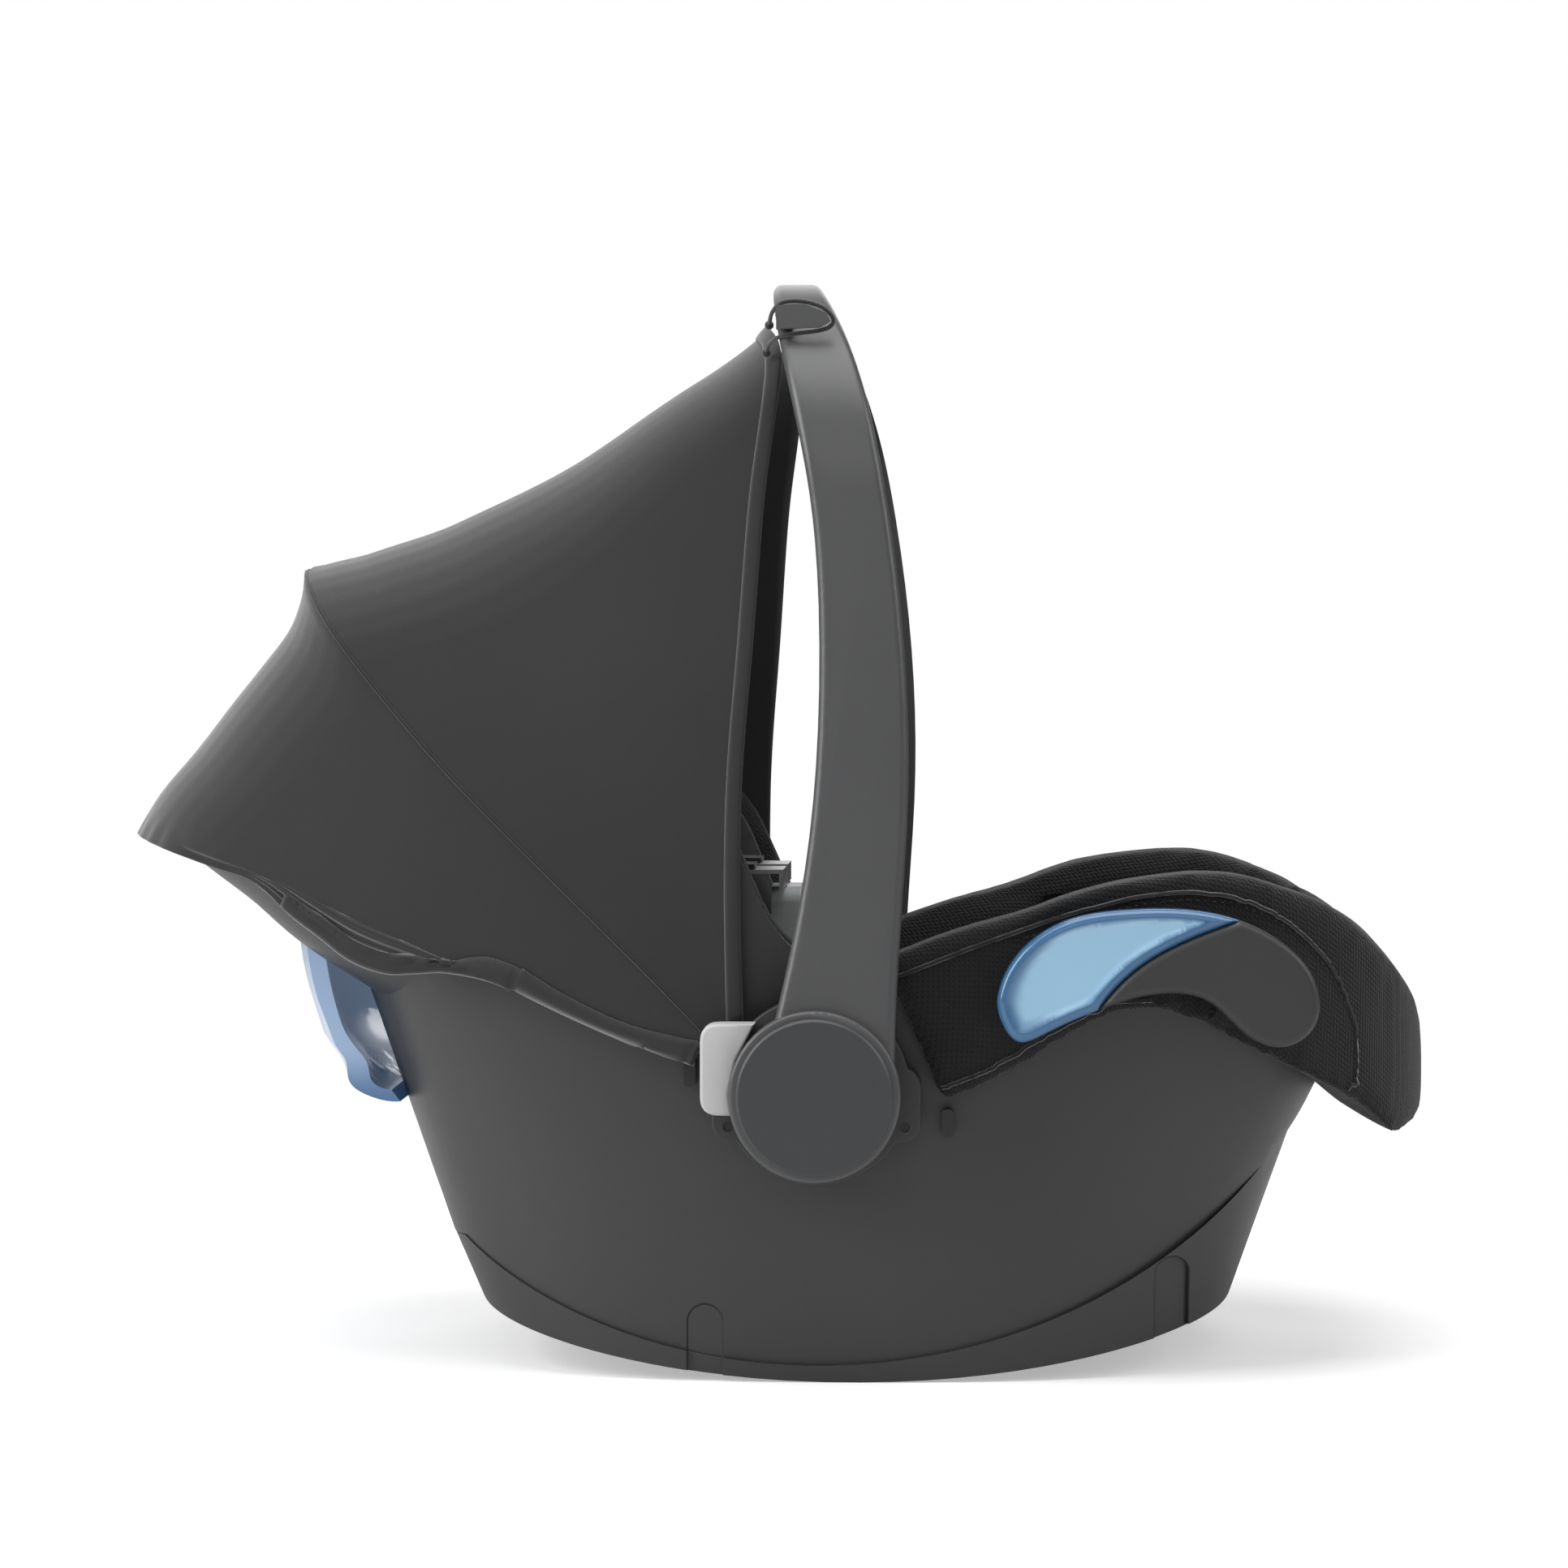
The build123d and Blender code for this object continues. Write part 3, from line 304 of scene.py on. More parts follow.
def metal(name, colour, rough):
    """Zinc-plated steel with fine drawing lines."""
    finish = Finish(name, Metallic=1.0)
    lines = finish.cloudy(900.0, 2.0)
    low = tuple(c * 0.85 for c in colour)
    finish.colour(finish.between(low, colour, lines))
    finish.rough(lines * 0.12 + rough)
    finish.relief(lines, 0.00002)
    return finish.material


def foamed(name, dark, light):
    """Expanded foam: beads pressed together."""
    finish = Finish(name)
    cells = {"Vector": finish.coordinates(), "Scale": 260.0}
    beads = finish.node("ShaderNodeTexVoronoi", {"feature": "DISTANCE_TO_EDGE"}, cells)
    seams = finish.rising(beads, 0.0, 0.16)
    finish.colour(finish.between(dark, light, seams * 0.6 + finish.cloudy(60.0) * 0.4))
    finish.rough(0.85 - seams * 0.08)
    finish.relief(seams, 0.0004)
    return finish.material


def tinted(name, deep, pale, clear, glow):
    """Translucent moulded plastic, deeper in colour towards its rim. It also glows in its own colour at the
    strength glow: painted light on faces that the lamps light too little.
    """
    finish = Finish(
        name, Coat_Weight=0.4, Coat_Roughness=0.08, IOR=1.49,
        Transmission_Weight=clear, Emission_Strength=glow,
    )
    rim = finish.node("ShaderNodeAttribute", {"attribute_name": "rim"}, output="Fac")
    haze = finish.cloudy(18.0, 2.0)
    colour = finish.between(pale, deep, rim * 0.9 + haze * 0.1)
    finish.colour(colour)
    # Painted light: the emission takes the plastic's own colour, at the strength glow.
    finish.put(colour, finish.shader.inputs["Emission Color"])
    finish.rough(haze * 0.1 + 0.2)
    finish.relief(finish.cloudy(500.0), 0.00002)
    return finish.material


SATIN, SMOOTH = (1700.0, 0.00004), (1700.0, 0.00003)  # grain and depth of the finer mouldings
FINISH = {
    "shell": moulded(
        "shell_plastic_grained", (0.030, 0.030, 0.0305), (0.044, 0.044, 0.045), 0.42, stops=STOPS
    ),
    "plate": moulded("plate_plastic_grained", (0.024, 0.024, 0.0243), (0.035, 0.035, 0.0355), 0.44),
    "handle": moulded("handle_plastic_satin", (0.060, 0.0606, 0.0625), (0.082, 0.083, 0.0855), 0.34, *SATIN),
    "cap": moulded("cap_plastic_satin", (0.034, 0.035, 0.038), (0.043, 0.0448, 0.0475), 0.42, *SATIN),
    "lining": moulded("lining_plastic_matt", (0.034, 0.034, 0.036), (0.052, 0.052, 0.054), 0.55),
    "fitting": moulded("fitting_plastic_black", (0.014, 0.014, 0.015), (0.024, 0.024, 0.026), 0.42),
    "button": moulded("button_plastic_light", (0.44, 0.44, 0.44), (0.52, 0.52, 0.52), 0.40, *SMOOTH),
    "buckle": moulded("buckle_plastic_silver", (0.34, 0.36, 0.36), (0.44, 0.46, 0.46), 0.34, *SMOOTH),
    "key": moulded("key_plastic_red", (0.50, 0.018, 0.016), (0.62, 0.030, 0.024), 0.30, 1700.0, 0.00002),
    "canopy": woven("canopy_cloth_stretch", (0.0148, 0.0148, 0.0154), (0.0225, 0.0225, 0.0232), 0.0009, 0.58),
    "hem": woven("canopy_cloth_hem", (0.0145, 0.0145, 0.0150), (0.0215, 0.0215, 0.0222), 0.0009, 0.58),
    "thread": woven(
        "sewing_thread_grey", (0.0025, 0.0025, 0.0026), (0.009, 0.009, 0.0094), 0.0007, depth=0.00005
    ),
    "piping": woven("piping_cord_dark", (0.006, 0.006, 0.0065), (0.016, 0.016, 0.017), 0.0008),
    "cover": open_mesh("cover_cloth_mesh", (0.0035, 0.0035, 0.0037), (0.019, 0.019, 0.0200), 0.0026),
    "hugger": woven(
        "hugger_cloth_jersey", (0.007, 0.007, 0.0075), (0.019, 0.019, 0.020), 0.0014, 0.3, 0.8, 0.0002
    ),
    "webbing": ribbed_web("harness_webbing_black", (0.010, 0.010, 0.011), (0.030, 0.030, 0.032)),
    "elastic": woven("elastic_cord_black", (0.010, 0.010, 0.011), (0.040, 0.040, 0.042), 0.0011),
    "steel": metal("zinc_plated_steel", (0.58, 0.58, 0.59), 0.28),
    "foam": foamed("foam_beads_grey", (0.045, 0.045, 0.047), (0.10, 0.10, 0.105)),
    # The guides' glow is painted light. The rear guide glows most, for its inner side, which the lamps light
    # too little.
    "blue": tinted("guide_plastic_blue", (0.035, 0.125, 0.27), (0.36, 0.60, 0.80), 0.15, 0.08),
    "rear_blue": tinted("rear_guide_plastic_blue", (0.05, 0.14, 0.30), (0.42, 0.54, 0.72), 0.25, 0.18),
}


# ---------------------------------------------------------------- making pieces
SAME_PLACE = 2e-6  # corners nearer than this are one corner, in metres
ROUND = 60.0  # soft_edge of cords and beads
CLOTH = 180.0  # soft_edge of sheets


def added(name, data):
    """A new object in the scene."""
    made = bpy.data.objects.new(name, data)
    bpy.context.scene.collection.objects.link(made)
    return made


def piece(name, form, finish, body, soft_edge=32.0):
    """A bmesh made into an object that rides on a body, smooth except at edges over soft_edge degrees."""
    for face in form.faces:
        face.smooth = True
    for edge in form.edges:
        edge.smooth = len(edge.link_faces) != 2 or edge.calc_face_angle() < math.radians(soft_edge)
    mesh = bpy.data.meshes.new(name)
    form.to_mesh(mesh)
    form.free()
    if "custom_normal" in mesh.attributes:
        mesh.attributes.remove(mesh.attributes["custom_normal"])
    mesh.materials.clear()
    mesh.materials.append(FINISH[finish])
    made = added(name, mesh)
    if body:
        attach(made, body)
    return made


def copy_of(node, flat=None):
    """A CAD node's mesh with its corners joined up, and faces that meet within flat degrees merged."""
    form = bmesh.new()
    form.from_mesh(frame["nodes"][node].data)
    bmesh.ops.remove_doubles(form, verts=form.verts, dist=SAME_PLACE)
    if flat:
        bmesh.ops.dissolve_limit(form, angle_limit=math.radians(flat), verts=form.verts, edges=form.edges)
    return form


def stands_for(made, node):
    """Hides a CAD node, whose place a piece takes."""
    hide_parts(node)


def dressed(node, finish):
    """A rigid CAD node as one clean mesh in its finish."""
    made = piece(node + "_finished", copy_of(node, 0.2), finish, frame["nodes"][node]["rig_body"])
    stands_for(made, node)


def tube(form, line, radius, sides=8):
    """A round cord along a line of points, added to a bmesh."""
    rings = []
    for i, here in enumerate(line):
        along = (line[min(i + 1, len(line) - 1)] - line[max(i - 1, 0)]).normalized()
        ring = bmesh.ops.create_circle(form, segments=sides, radius=radius, cap_ends=False)["verts"]
        turn = along.to_track_quat("Z", "Y").to_matrix().to_4x4()
        bmesh.ops.transform(form, matrix=Matrix.Translation(here) @ turn, verts=ring)
        if rings:
            join_rings(form, rings[-1], ring)
        rings.append(ring)
    form.faces.new(rings[0])
    form.faces.new(rings[-1])


def join_rings(form, one, other):
    """Bridges two rings, matching the nearest corners."""
    start = min(range(len(other)), key=lambda k: (other[k].co - one[0].co).length)
    other = other[start:] + other[:start]
    if (other[1].co - one[1].co).length > (other[-1].co - one[1].co).length:
        other = other[:1] + other[:0:-1]
    count = len(one)
    for k in range(count):
        form.faces.new((one[k], one[(k + 1) % count], other[(k + 1) % count], other[k]))


def piping(name, lines, radius, body, sides=8):
    """Round piping along lines of points, as one piece."""
    form = bmesh.new()
    for line in lines:
        tube(form, line, radius, sides)
    bmesh.ops.recalc_face_normals(form, faces=form.faces)
    made = piece(name, form, "piping", body, ROUND)
    return made


def thicken(made, thick, offset):
    """Gives a sheet its cloth's thickness: offset 0 to both sides, -1 to its inner side."""
    change = made.modifiers.new("thickness", "SOLIDIFY")
    change.thickness, change.offset = thick, offset


def stitches(form, line, pitch, length, radius):
    """Short threads laid end to end along a line."""
    total = sum((b - a).length for a, b in zip(line, line[1:]))
    count = max(int(total / pitch), 1)
    for i in range(count):
        start, end = walk(line, i / count), walk(line, (i + length / pitch) / count)
        if (end - start).length < 1e-6:
            continue
        bead = bmesh.ops.create_icosphere(form, subdivisions=1, radius=1.0)["verts"]
        turn = (end - start).to_track_quat("Z", "Y").to_matrix().to_4x4()
        size = Matrix.Diagonal((radius, radius, (end - start).length / 2, 1))
        bmesh.ops.transform(form, matrix=Matrix.Translation((start + end) / 2) @ turn @ size, verts=bead)


# ---------------------------------------------------------------- canopy
# Side view in polar form about the fan's point: degrees from +X, and millimetres from the point
FAN_X, FAN_Z = -8.6, 156.0
# Stations on the ridge: front hem, bow, fold and lower hem, which lie at a u of 0, 1, FOLD_U and 2
FRONT_ANGLE, BOW_ANGLE, FOLD_ANGLE, LOWER_ANGLE = 89.0, 133.5, 160.0, 160.8
FOLD_U = 1.7
FOOT = 27.0  # reach of the cloth's feet
# The ridge: station, reach
RIDGE = (
    (89.0, 381.0), (96.2, 354.0), (107.4, 324.7), (119.3, 320.1), (127.6, 330.5), (131.8, 340.6),
    (133.5, 344.6), (134.8, 337.5), (137.1, 330.5), (139.7, 328.2), (145.0, 328.7), (151.8, 332.5),
    (157.0, 339.8), (160.8, 343.5),
)
# The arch at a station: angle, foot half width, knee reach, knee half width, top half width, shoulder radius
PROFILE = (
    (89.0, 179.5, 140.0, 178.0, 146.0, 40.0), (107.0, 179.5, 170.0, 177.0, 146.5, 52.0),
    (119.0, 180.0, 180.0, 176.0, 150.0, 56.0), (133.5, 180.5, 200.0, 174.0, 158.0, 56.0),
    (147.0, 180.5, 195.0, 170.5, 149.0, 54.0), (160.8, 180.5, 190.0, 167.5, 140.0, 50.0),
)
KNEE_RADIUS = 60.0
# Edges and creases of the cloth: reach, angle
FRONT_EDGE = (
    (27.0, 93.0), (133.0, 91.2), (213.0, 89.3), (294.0, 88.3), (352.0, 87.4), (370.0, 87.8), (382.0, 89.2),
)
BOW_EDGE = ((27.0, 133.5), (120.0, 134.6), (200.0, 134.9), (260.0, 134.2), (310.0, 133.2), (345.0, 132.0))
LOWER_EDGE = (
    (29.0, 166.2), (60.0, 161.2), (95.0, 159.9), (136.0, 159.8), (161.5, 161.3), (175.0, 163.0),
    (189.0, 164.4), (208.0, 164.2), (228.0, 162.4), (246.0, 161.0), (260.0, 159.6), (273.0, 159.0),
    (294.0, 159.3), (343.0, 159.6),
)
FOLD = (
    (29.0, 166.0), (120.0, 160.0), (161.0, 158.8), (200.0, 158.7), (261.0, 158.0), (290.0, 158.3),
    (343.0, 158.7),
)
# Half width of the shell's head end, which the cloth turns in to: reach, half width
SHELL_SIDE = (
    (29.0, 172.0), (100.0, 170.5), (161.0, 170.5), (213.0, 163.0), (273.0, 152.0), (320.0, 140.0),
    (356.0, 134.0),
)
CROWN = 3.0  # how far the ridge stands above the shoulders
SINK = 3.0  # how far the cloth sinks in between the front hem and the bow
RIDGE_HIGH = 2.9  # how far the gathers stand out
section_of = {}


def canopy_section(station):
    """Half of the arch at a station angle, from foot over shoulder to ridge, as (half width, reach)."""
    if station not in section_of:
        foot_half, knee_reach, knee_half, top_half, corner = read(PROFILE, station)
        reach = read(RIDGE, station)
        corners = ((foot_half, FOOT), (knee_half, knee_reach), (top_half, reach - CROWN), (0.0, reach))
        section_of[station] = rounded(corners, (KNEE_RADIUS, corner))
    return section_of[station]


def gathered(half, reach, turn):
    """Half width under the fold: the cloth turns in, and lies in long ridges above the lower hem."""
    zone = ease((reach - 120.0) / 50.0) * ease((352.0 - reach) / 40.0)
    inner = read(SHELL_SIDE, reach)
    if half > inner:
        half += (inner - half) * (1 - (1 - min(turn * 1.5, 1.0)) ** 3) * zone
    slant = turn * 10.0 + reach / 34.0 + 0.5 * math.sin(reach / 13.0)
    ridges = 1.2 * abs(math.sin(slant)) + 0.4 * abs(math.sin(slant * 2.3 + 1.0)) - 0.9
    deep = ease((reach - 140.0) / 30.0) * ease((276.0 - reach) / 22.0)
    return half + RIDGE_HIGH * deep * ridges * math.sin(math.pi * min(turn / 0.7, 1.0)) ** 0.6


def canopy_point(u, v):
    """A point of the cloth: u is 0 at the front hem, 1 on the bow, FOLD_U on the fold and 2 at the lower hem.
    v runs from -1 to 1 across."""
    share = u if u <= 1 else min((u - 1) / (FOLD_U - 1), 1.0)
    turn = max((u - FOLD_U) / (2 - FOLD_U), 0.0)
    if u <= 1:
        station = FRONT_ANGLE + (BOW_ANGLE - FRONT_ANGLE) * share
    else:
        station = BOW_ANGLE + (FOLD_ANGLE - BOW_ANGLE) * share + (LOWER_ANGLE - FOLD_ANGLE) * turn
    half, reach = walk(canopy_section(round(station, 3)), 1 - abs(v))
    if u <= 1:
        angle = read(FRONT_EDGE, reach) * (1 - share) + read(BOW_EDGE, reach) * share
        along = (reach - FOOT) / 330.0
        half -= SINK * math.sin(math.pi * share) * math.sin(math.pi * min(max(along, 0), 1))
    else:
        fold = read(FOLD, reach)
        angle = read(BOW_EDGE, reach) * (1 - share) + fold * share + (read(LOWER_EDGE, reach) - fold) * turn
        half = gathered(half, reach, turn)
        tip = ease((share - 0.93) / 0.07) * ease((reach - 262.0) / 20.0)
        reach += tip * 0.5 * math.sin(abs(v) * 190.0 + 2.0 * math.sin(v * 13.0))
    radians = math.radians(angle)
    x, z = FAN_X + reach * math.cos(radians), FAN_Z + reach * math.sin(radians)
    return Vector((x, half * (1 if v > 0 else -1), z)) * MM


UNDER_CANOPY = (-100.0, 0.0, 250.0)  # a point inside the canopy


def canopy_normal(u, v):
    """Outward from the cloth."""
    step = 0.004
    along = canopy_point(min(u + step, 2), v) - canopy_point(max(u - step, 0), v)
    across = canopy_point(u, min(v + step, 1)) - canopy_point(u, max(v - step, -1))
    normal = across.cross(along).normalized()
    return normal if normal.dot(canopy_point(u, v) - Vector(UNDER_CANOPY) * MM) > 0 else -normal


def tucked_point(u, v):
    """A point of the cloth, also past the lower hem, where elastic draws it under the head end's rim."""
    if u <= 2:
        return canopy_point(u, v)
    past = (u - 2) / 0.1
    if abs(v) < 0.45:
        inward = Vector((14.0, 0, 3.0 + 3.0 * past))
    else:
        inward = Vector((0.0, -4.0 if v > 0 else 4.0, -1.0))
    return canopy_point(2, v) + inward * past * MM


def bends(made):
    """Sets a cloth piece free of any parent, with its place baked into its mesh."""
    made.parent = None
    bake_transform(made)


# Shares of the mesh's rows, and the u they reach: rows are closest together in the gathers
CLOTH_ROWS = ((0.0, 0.0), (0.34, 1.0), (0.60, 1.68), (1.0, 2.08))
CLOTH_MESH = (290, 140)  # corners across and along
CLOTH_THICK, HEM_THICK = 0.0011, 0.0010


def row_to_u(row):
    """The u that a share of the mesh's rows reaches."""
    for (low, u_low), (high, u_high) in zip(CLOTH_ROWS, CLOTH_ROWS[1:]):
        if row <= high or high == 1.0:
            return u_low + (u_high - u_low) * (row - low) / (high - low)


def make_canopy():
    """One stretched sheet over the bow, from the front hem to the elastic under the head end."""
    sheet = bmesh.new()
    bmesh.ops.create_grid(sheet, x_segments=CLOTH_MESH[0], y_segments=CLOTH_MESH[1], size=0.5)
    for vert in sheet.verts:
        vert.co = tucked_point(row_to_u(vert.co.y + 0.5), vert.co.x * 2)
    bmesh.ops.recalc_face_normals(sheet, faces=sheet.faces)
    made = piece("canopy_cloth", sheet, "canopy", None, CLOTH)
    thicken(made, CLOTH_THICK, 0.0)
    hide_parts("canopy_front", "canopy_rear")
    bends(made)


def beside_cloth(edge, start, end, steps, lift, back=0.0):
    """Points along an edge or crease of the cloth, lifted off it, and set back from it by a distance."""
    line = []
    for k in range(steps + 1):
        v = start + (end - start) * k / steps
        u = from_edge(edge, v, back) if back else edge
        line.append(canopy_point(u, v) + canopy_normal(edge, v) * lift)
    return line


WIRE_RADIUS, WIRE_UNDER = 0.0025, 0.0083  # the bow's wire, and how far its middle lies under the cloth
EYE_RADIUS, EYE_WIDE = 0.0062, 0.0036


def make_bow():
    """The wire under the cloth's ridge, with an eye round the pin at each foot."""
    line = beside_cloth(1, -1.0, 1.0, 120, -WIRE_UNDER)
    form = bmesh.new()
    tube(form, line, WIRE_RADIUS, 12)
    for end in (line[0], line[-1]):
        bmesh.ops.create_cone(
            form, cap_ends=True, segments=24, radius1=EYE_RADIUS, radius2=EYE_RADIUS, depth=EYE_WIDE,
            matrix=Matrix.Translation(end) @ Matrix.Rotation(math.pi / 2, 4, "X"),
        )
    bmesh.ops.recalc_face_normals(form, faces=form.faces)
    stands_for(piece("canopy_bow_wire", form, "steel", "bow", ROUND), "canopy_bow")


def from_edge(edge, v, distance):
    """How far along u a point lies that is a distance away from the cloth's front (0) or lower (2) edge."""
    step = 0.012 if edge == 0 else -0.012
    u, here, left = edge, canopy_point(edge, v), distance
    while True:
        there = canopy_point(u + step, v)
        gone = (there - here).length
        if gone >= left or abs(u - edge) > 0.9:
            return u + step * min(left / max(gone, 1e-9), 1.0)
        u, here, left = u + step, there, left - gone


HEM_WIDE = {0: 0.0085, 2: 0.0115}
HEM_CROWN = 0.0005
HEM_FROM = 0.49  # v at which the lower hem comes out from under the head end
# Turned hems: name, edge, v at both ends, steps along, and how far they lie proud of the cloth
HEMS = (
    ("canopy_front_hem", 0, -1.0, 1.0, 200, 0.0004),
    ("canopy_lower_hem_right", 2, -1.0, -HEM_FROM, 110, 0.0007),
    ("canopy_lower_hem_left", 2, HEM_FROM, 1.0, 110, 0.0007),
)
HEM_STITCH = (0.0042, 0.0027, 0.00045)  # pitch, length, half thickness
STITCH_PROUD = 0.0008
STITCH_BACK = 0.78  # how far back in the hem the stitches lie, as a share of its width


def hem_strip(name, edge, start, end, steps, lift):
    """A turned hem along an edge of the cloth from one v to another, a little proud of it."""
    strip = bmesh.new()
    bmesh.ops.create_grid(strip, x_segments=steps, y_segments=5, size=0.5)
    inner = {}
    for vert in strip.verts:
        v, side = start + (end - start) * (vert.co.x + 0.5), vert.co.y + 0.5
        place = round(v, 5)
        if place not in inner:
            inner[place] = from_edge(edge, v, HEM_WIDE[edge])
        u = inner[place] * (1 - side) + edge * side
        crown = max(math.sin(math.pi * side), 0.0) ** 0.5 * HEM_CROWN
        vert.co = canopy_point(u, v) + canopy_normal(edge, v) * (lift + crown)
    bmesh.ops.recalc_face_normals(strip, faces=strip.faces)
    made = piece(name, strip, "hem", None, CLOTH)
    thicken(made, HEM_THICK, -1.0)
    bends(made)


def make_hems():
    """The cloth's turned hems and their stitches, and the piping over the bow."""
    threads = bmesh.new()
    for name, edge, start, end, steps, lift in HEMS:
        hem_strip(name, edge, start, end, steps, lift)
        line = beside_cloth(edge, start, end, 300, lift + STITCH_PROUD, HEM_WIDE[edge] * STITCH_BACK)
        stitches(threads, line, *HEM_STITCH)
    made = piece("canopy_stitching", threads, "thread", None, ROUND)
    bends(made)
    seam = beside_cloth(1, -1.0, 1.0, 300, 0.0003)
    bends(piping("canopy_bow_piping", [seam], 0.0010, None))


# The elastic loop on the right: from a knot on the canopy's corner, round the peg, to the other knot
LOOP_LINE = (
    (1.5, -146.0, 533.0), (3.5, -158.0, 538.5), (9.0, -168.0, 542.6), (19.0, -169.6, 543.0),
    (29.0, -169.8, 540.0), (34.4, -169.8, 534.6), (33.0, -169.8, 530.4), (27.0, -169.6, 528.3),
    (16.0, -169.0, 526.9), (7.0, -164.0, 525.6), (2.0, -154.0, 523.0), (0.0, -146.0, 519.0),
)
ELASTIC_RADIUS, KNOT_RADIUS = 0.0011, 0.0024


def make_loops():
    """An elastic cord from knot to knot on each side, which ties the canopy's corner to the handle's peg."""
    for side, sign in SIDES:
        line = [Vector((p.x, -sign * p.y, p.z)) * MM for p in curve_through(LOOP_LINE, 60)]
        node = f"canopy_loop_{side}"
        form = bmesh.new()
        tube(form, line, ELASTIC_RADIUS)
        for knot in (line[0], line[-1]):
            bead = bmesh.ops.create_icosphere(form, subdivisions=2, radius=KNOT_RADIUS)["verts"]
            bmesh.ops.translate(form, verts=bead, vec=knot)
        bmesh.ops.recalc_face_normals(form, faces=form.faces)
        made = piece(node + "_cord", form, "elastic", "handle", ROUND)
        stands_for(made, node)


# ---------------------------------------------------------------- padding
def remeshed(node, voxel):
    """A soft CAD solid as an even, softened skin."""
    form = copy_of(node)
    mesh = bpy.data.meshes.new(node + "_padded")
    form.to_mesh(mesh)
    form.free()
    made = added(node + "_padded", mesh)
    change = made.modifiers.new("even", "REMESH")
    change.mode, change.voxel_size = "VOXEL", voxel
    bake_modifiers(made)
    return made


def bake_modifiers(made):
    """Makes what the modifiers show into the mesh itself."""
    shown = made.evaluated_get(bpy.context.evaluated_depsgraph_get())
    mesh = bpy.data.meshes.new_from_object(shown)
    made.modifiers.clear()
    made.data = mesh


def set_points(mesh, points):
    """Puts a mesh's points in place, all at once."""
    mesh.vertices.foreach_set("co", [c for point in points for c in point])
    mesh.update()


PUFF_FRAMES = 20


def swollen(made, pressure, cap, shrink):
    """Cloth inflated from a slightly smaller shape, no point moving further than the cap."""
    mesh = made.data
    start = [vert.co - vert.normal * shrink for vert in mesh.vertices]
    set_points(mesh, start)
    cloth = made.modifiers.new("padding", "CLOTH")
    cloth.settings.quality = 4
    cloth.settings.mass = 0.3
    cloth.settings.use_pressure = True
    cloth.settings.uniform_pressure_force = pressure
    cloth.settings.effector_weights.gravity = 0
    cloth.settings.tension_stiffness = 15
    cloth.settings.bending_stiffness = 1.5
    cloth.point_cache.frame_end = PUFF_FRAMES
    scene = bpy.context.scene
    for step in range(1, PUFF_FRAMES + 1):
        scene.frame_set(step)
    shown = made.evaluated_get(bpy.context.evaluated_depsgraph_get())
    after = [vert.co.copy() for vert in shown.data.vertices]
    made.modifiers.clear()
    scene.frame_set(1)
    moved = []
    for was, now in zip(start, after):
        move = now - was
        moved.append(was + (move if move.length <= cap else move.normalized() * cap))
    set_points(mesh, moved)


def relaxed(made, rounds):
    """Smooths a mesh's points."""
    form = bmesh.new()
    form.from_mesh(made.data)
    axes = {"use_axis_x": True, "use_axis_y": True, "use_axis_z": True}
    for _ in range(rounds):
        bmesh.ops.smooth_vert(form, verts=form.verts, factor=0.5, **axes)
    form.to_mesh(made.data)
    form.free()


def padded(made, finish, node):
    """A padded piece that rides on the shell in a soft CAD solid's place."""
    mesh = made.data
    mesh.materials.clear()
    mesh.materials.append(FINISH[finish])
    for polygon in mesh.polygons:
        polygon.use_smooth = True
    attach(made, "shell")
    stands_for(made, node)
    return made


# The gathered stretch of the cover's lower edge in side view, behind the belt guides: x, z
GATHER = ((206.0, 187.0), (226.0, 177.0), (247.0, 167.0), (267.0, 160.0), (283.0, 153.0))
GATHER_HIGH = 1.9
GATHER_OUT, GATHER_FROM, GATHER_TO = 150.0, 196.0, 296.0  # y outside which they lie, and their x range
# How far the padding's top edge rises or settles, from SETTLE_FROM on: x, rise
SETTLE_FROM = 50.0
COVER_SETTLE = (
    (50.0, -1.0), (90.0, -10.0), (125.0, -17.0), (160.0, -15.0), (199.0, -11.0), (241.0, -0.5),
    (262.0, 4.0), (285.0, 11.0), (313.0, 14.0), (333.0, 12.0), (344.0, 4.0),
)
# The shell's rim and the padding's edge over it in side view: x, z
SHELL_RIM = (
    (44.0, 205.0), (96.0, 216.0), (150.0, 234.0), (205.0, 246.0), (252.0, 232.0), (292.0, 198.0),
    (330.0, 150.0),
)
COVER_EDGE = ((50.0, 214.0), (125.0, 254.0), (199.0, 268.0), (262.0, 247.0), (318.0, 198.0), (344.0, 160.0))


def settled(here):
    """Lets the padding above the shell's rim lie as its stuffing settles."""
    rim, edge = read(SHELL_RIM, here.x), read(COVER_EDGE, here.x)
    share = min(max((here.z - rim) / max(edge - rim, 4.0), 0.0), 1.0)
    return read(COVER_SETTLE, here.x) * share if here.x > SETTLE_FROM else 0.0


def make_cover():
    """The seat's padded cover, uneven as stuffing is, with its lower edge gathered behind the guides."""
    made = remeshed("seat_cover", 0.005)
    relaxed(made, 3)
    swollen(made, pressure=1.2, cap=0.005, shrink=0.0012)
    points = []
    for vert in made.data.vertices:
        here = vert.co / MM
        x, y, z = here
        out = 0.0
        if abs(y) > GATHER_OUT and GATHER_FROM < x < GATHER_TO:
            depth = ease(1 - abs(z - read(GATHER, x) - 6) / 20.0)
            wave = math.sin(x * 0.78 + 1.4 * math.sin(x * 0.11)) + 0.4 * math.sin(x * 1.9)
            out = (1 if y > 0 else -1) * GATHER_HIGH * wave * depth
        soft = noise.noise(here * 0.016) * 0.9 + noise.noise(here * 0.05) * 0.3
        points.append((here + vert.normal * soft + Vector((0, out, settled(here)))) * MM)
    set_points(made.data, points)
    return padded(made, "cover", "seat_cover")


def on_surface(tree, points, lift):
    """Lays a smooth line through points on a mesh, lifted off it."""
    laid = []
    for point in curve_through(points, 120):
        spot, normal, _, _ = tree.find_nearest(point * MM)
        laid.append(spot + normal * lift)
    return laid


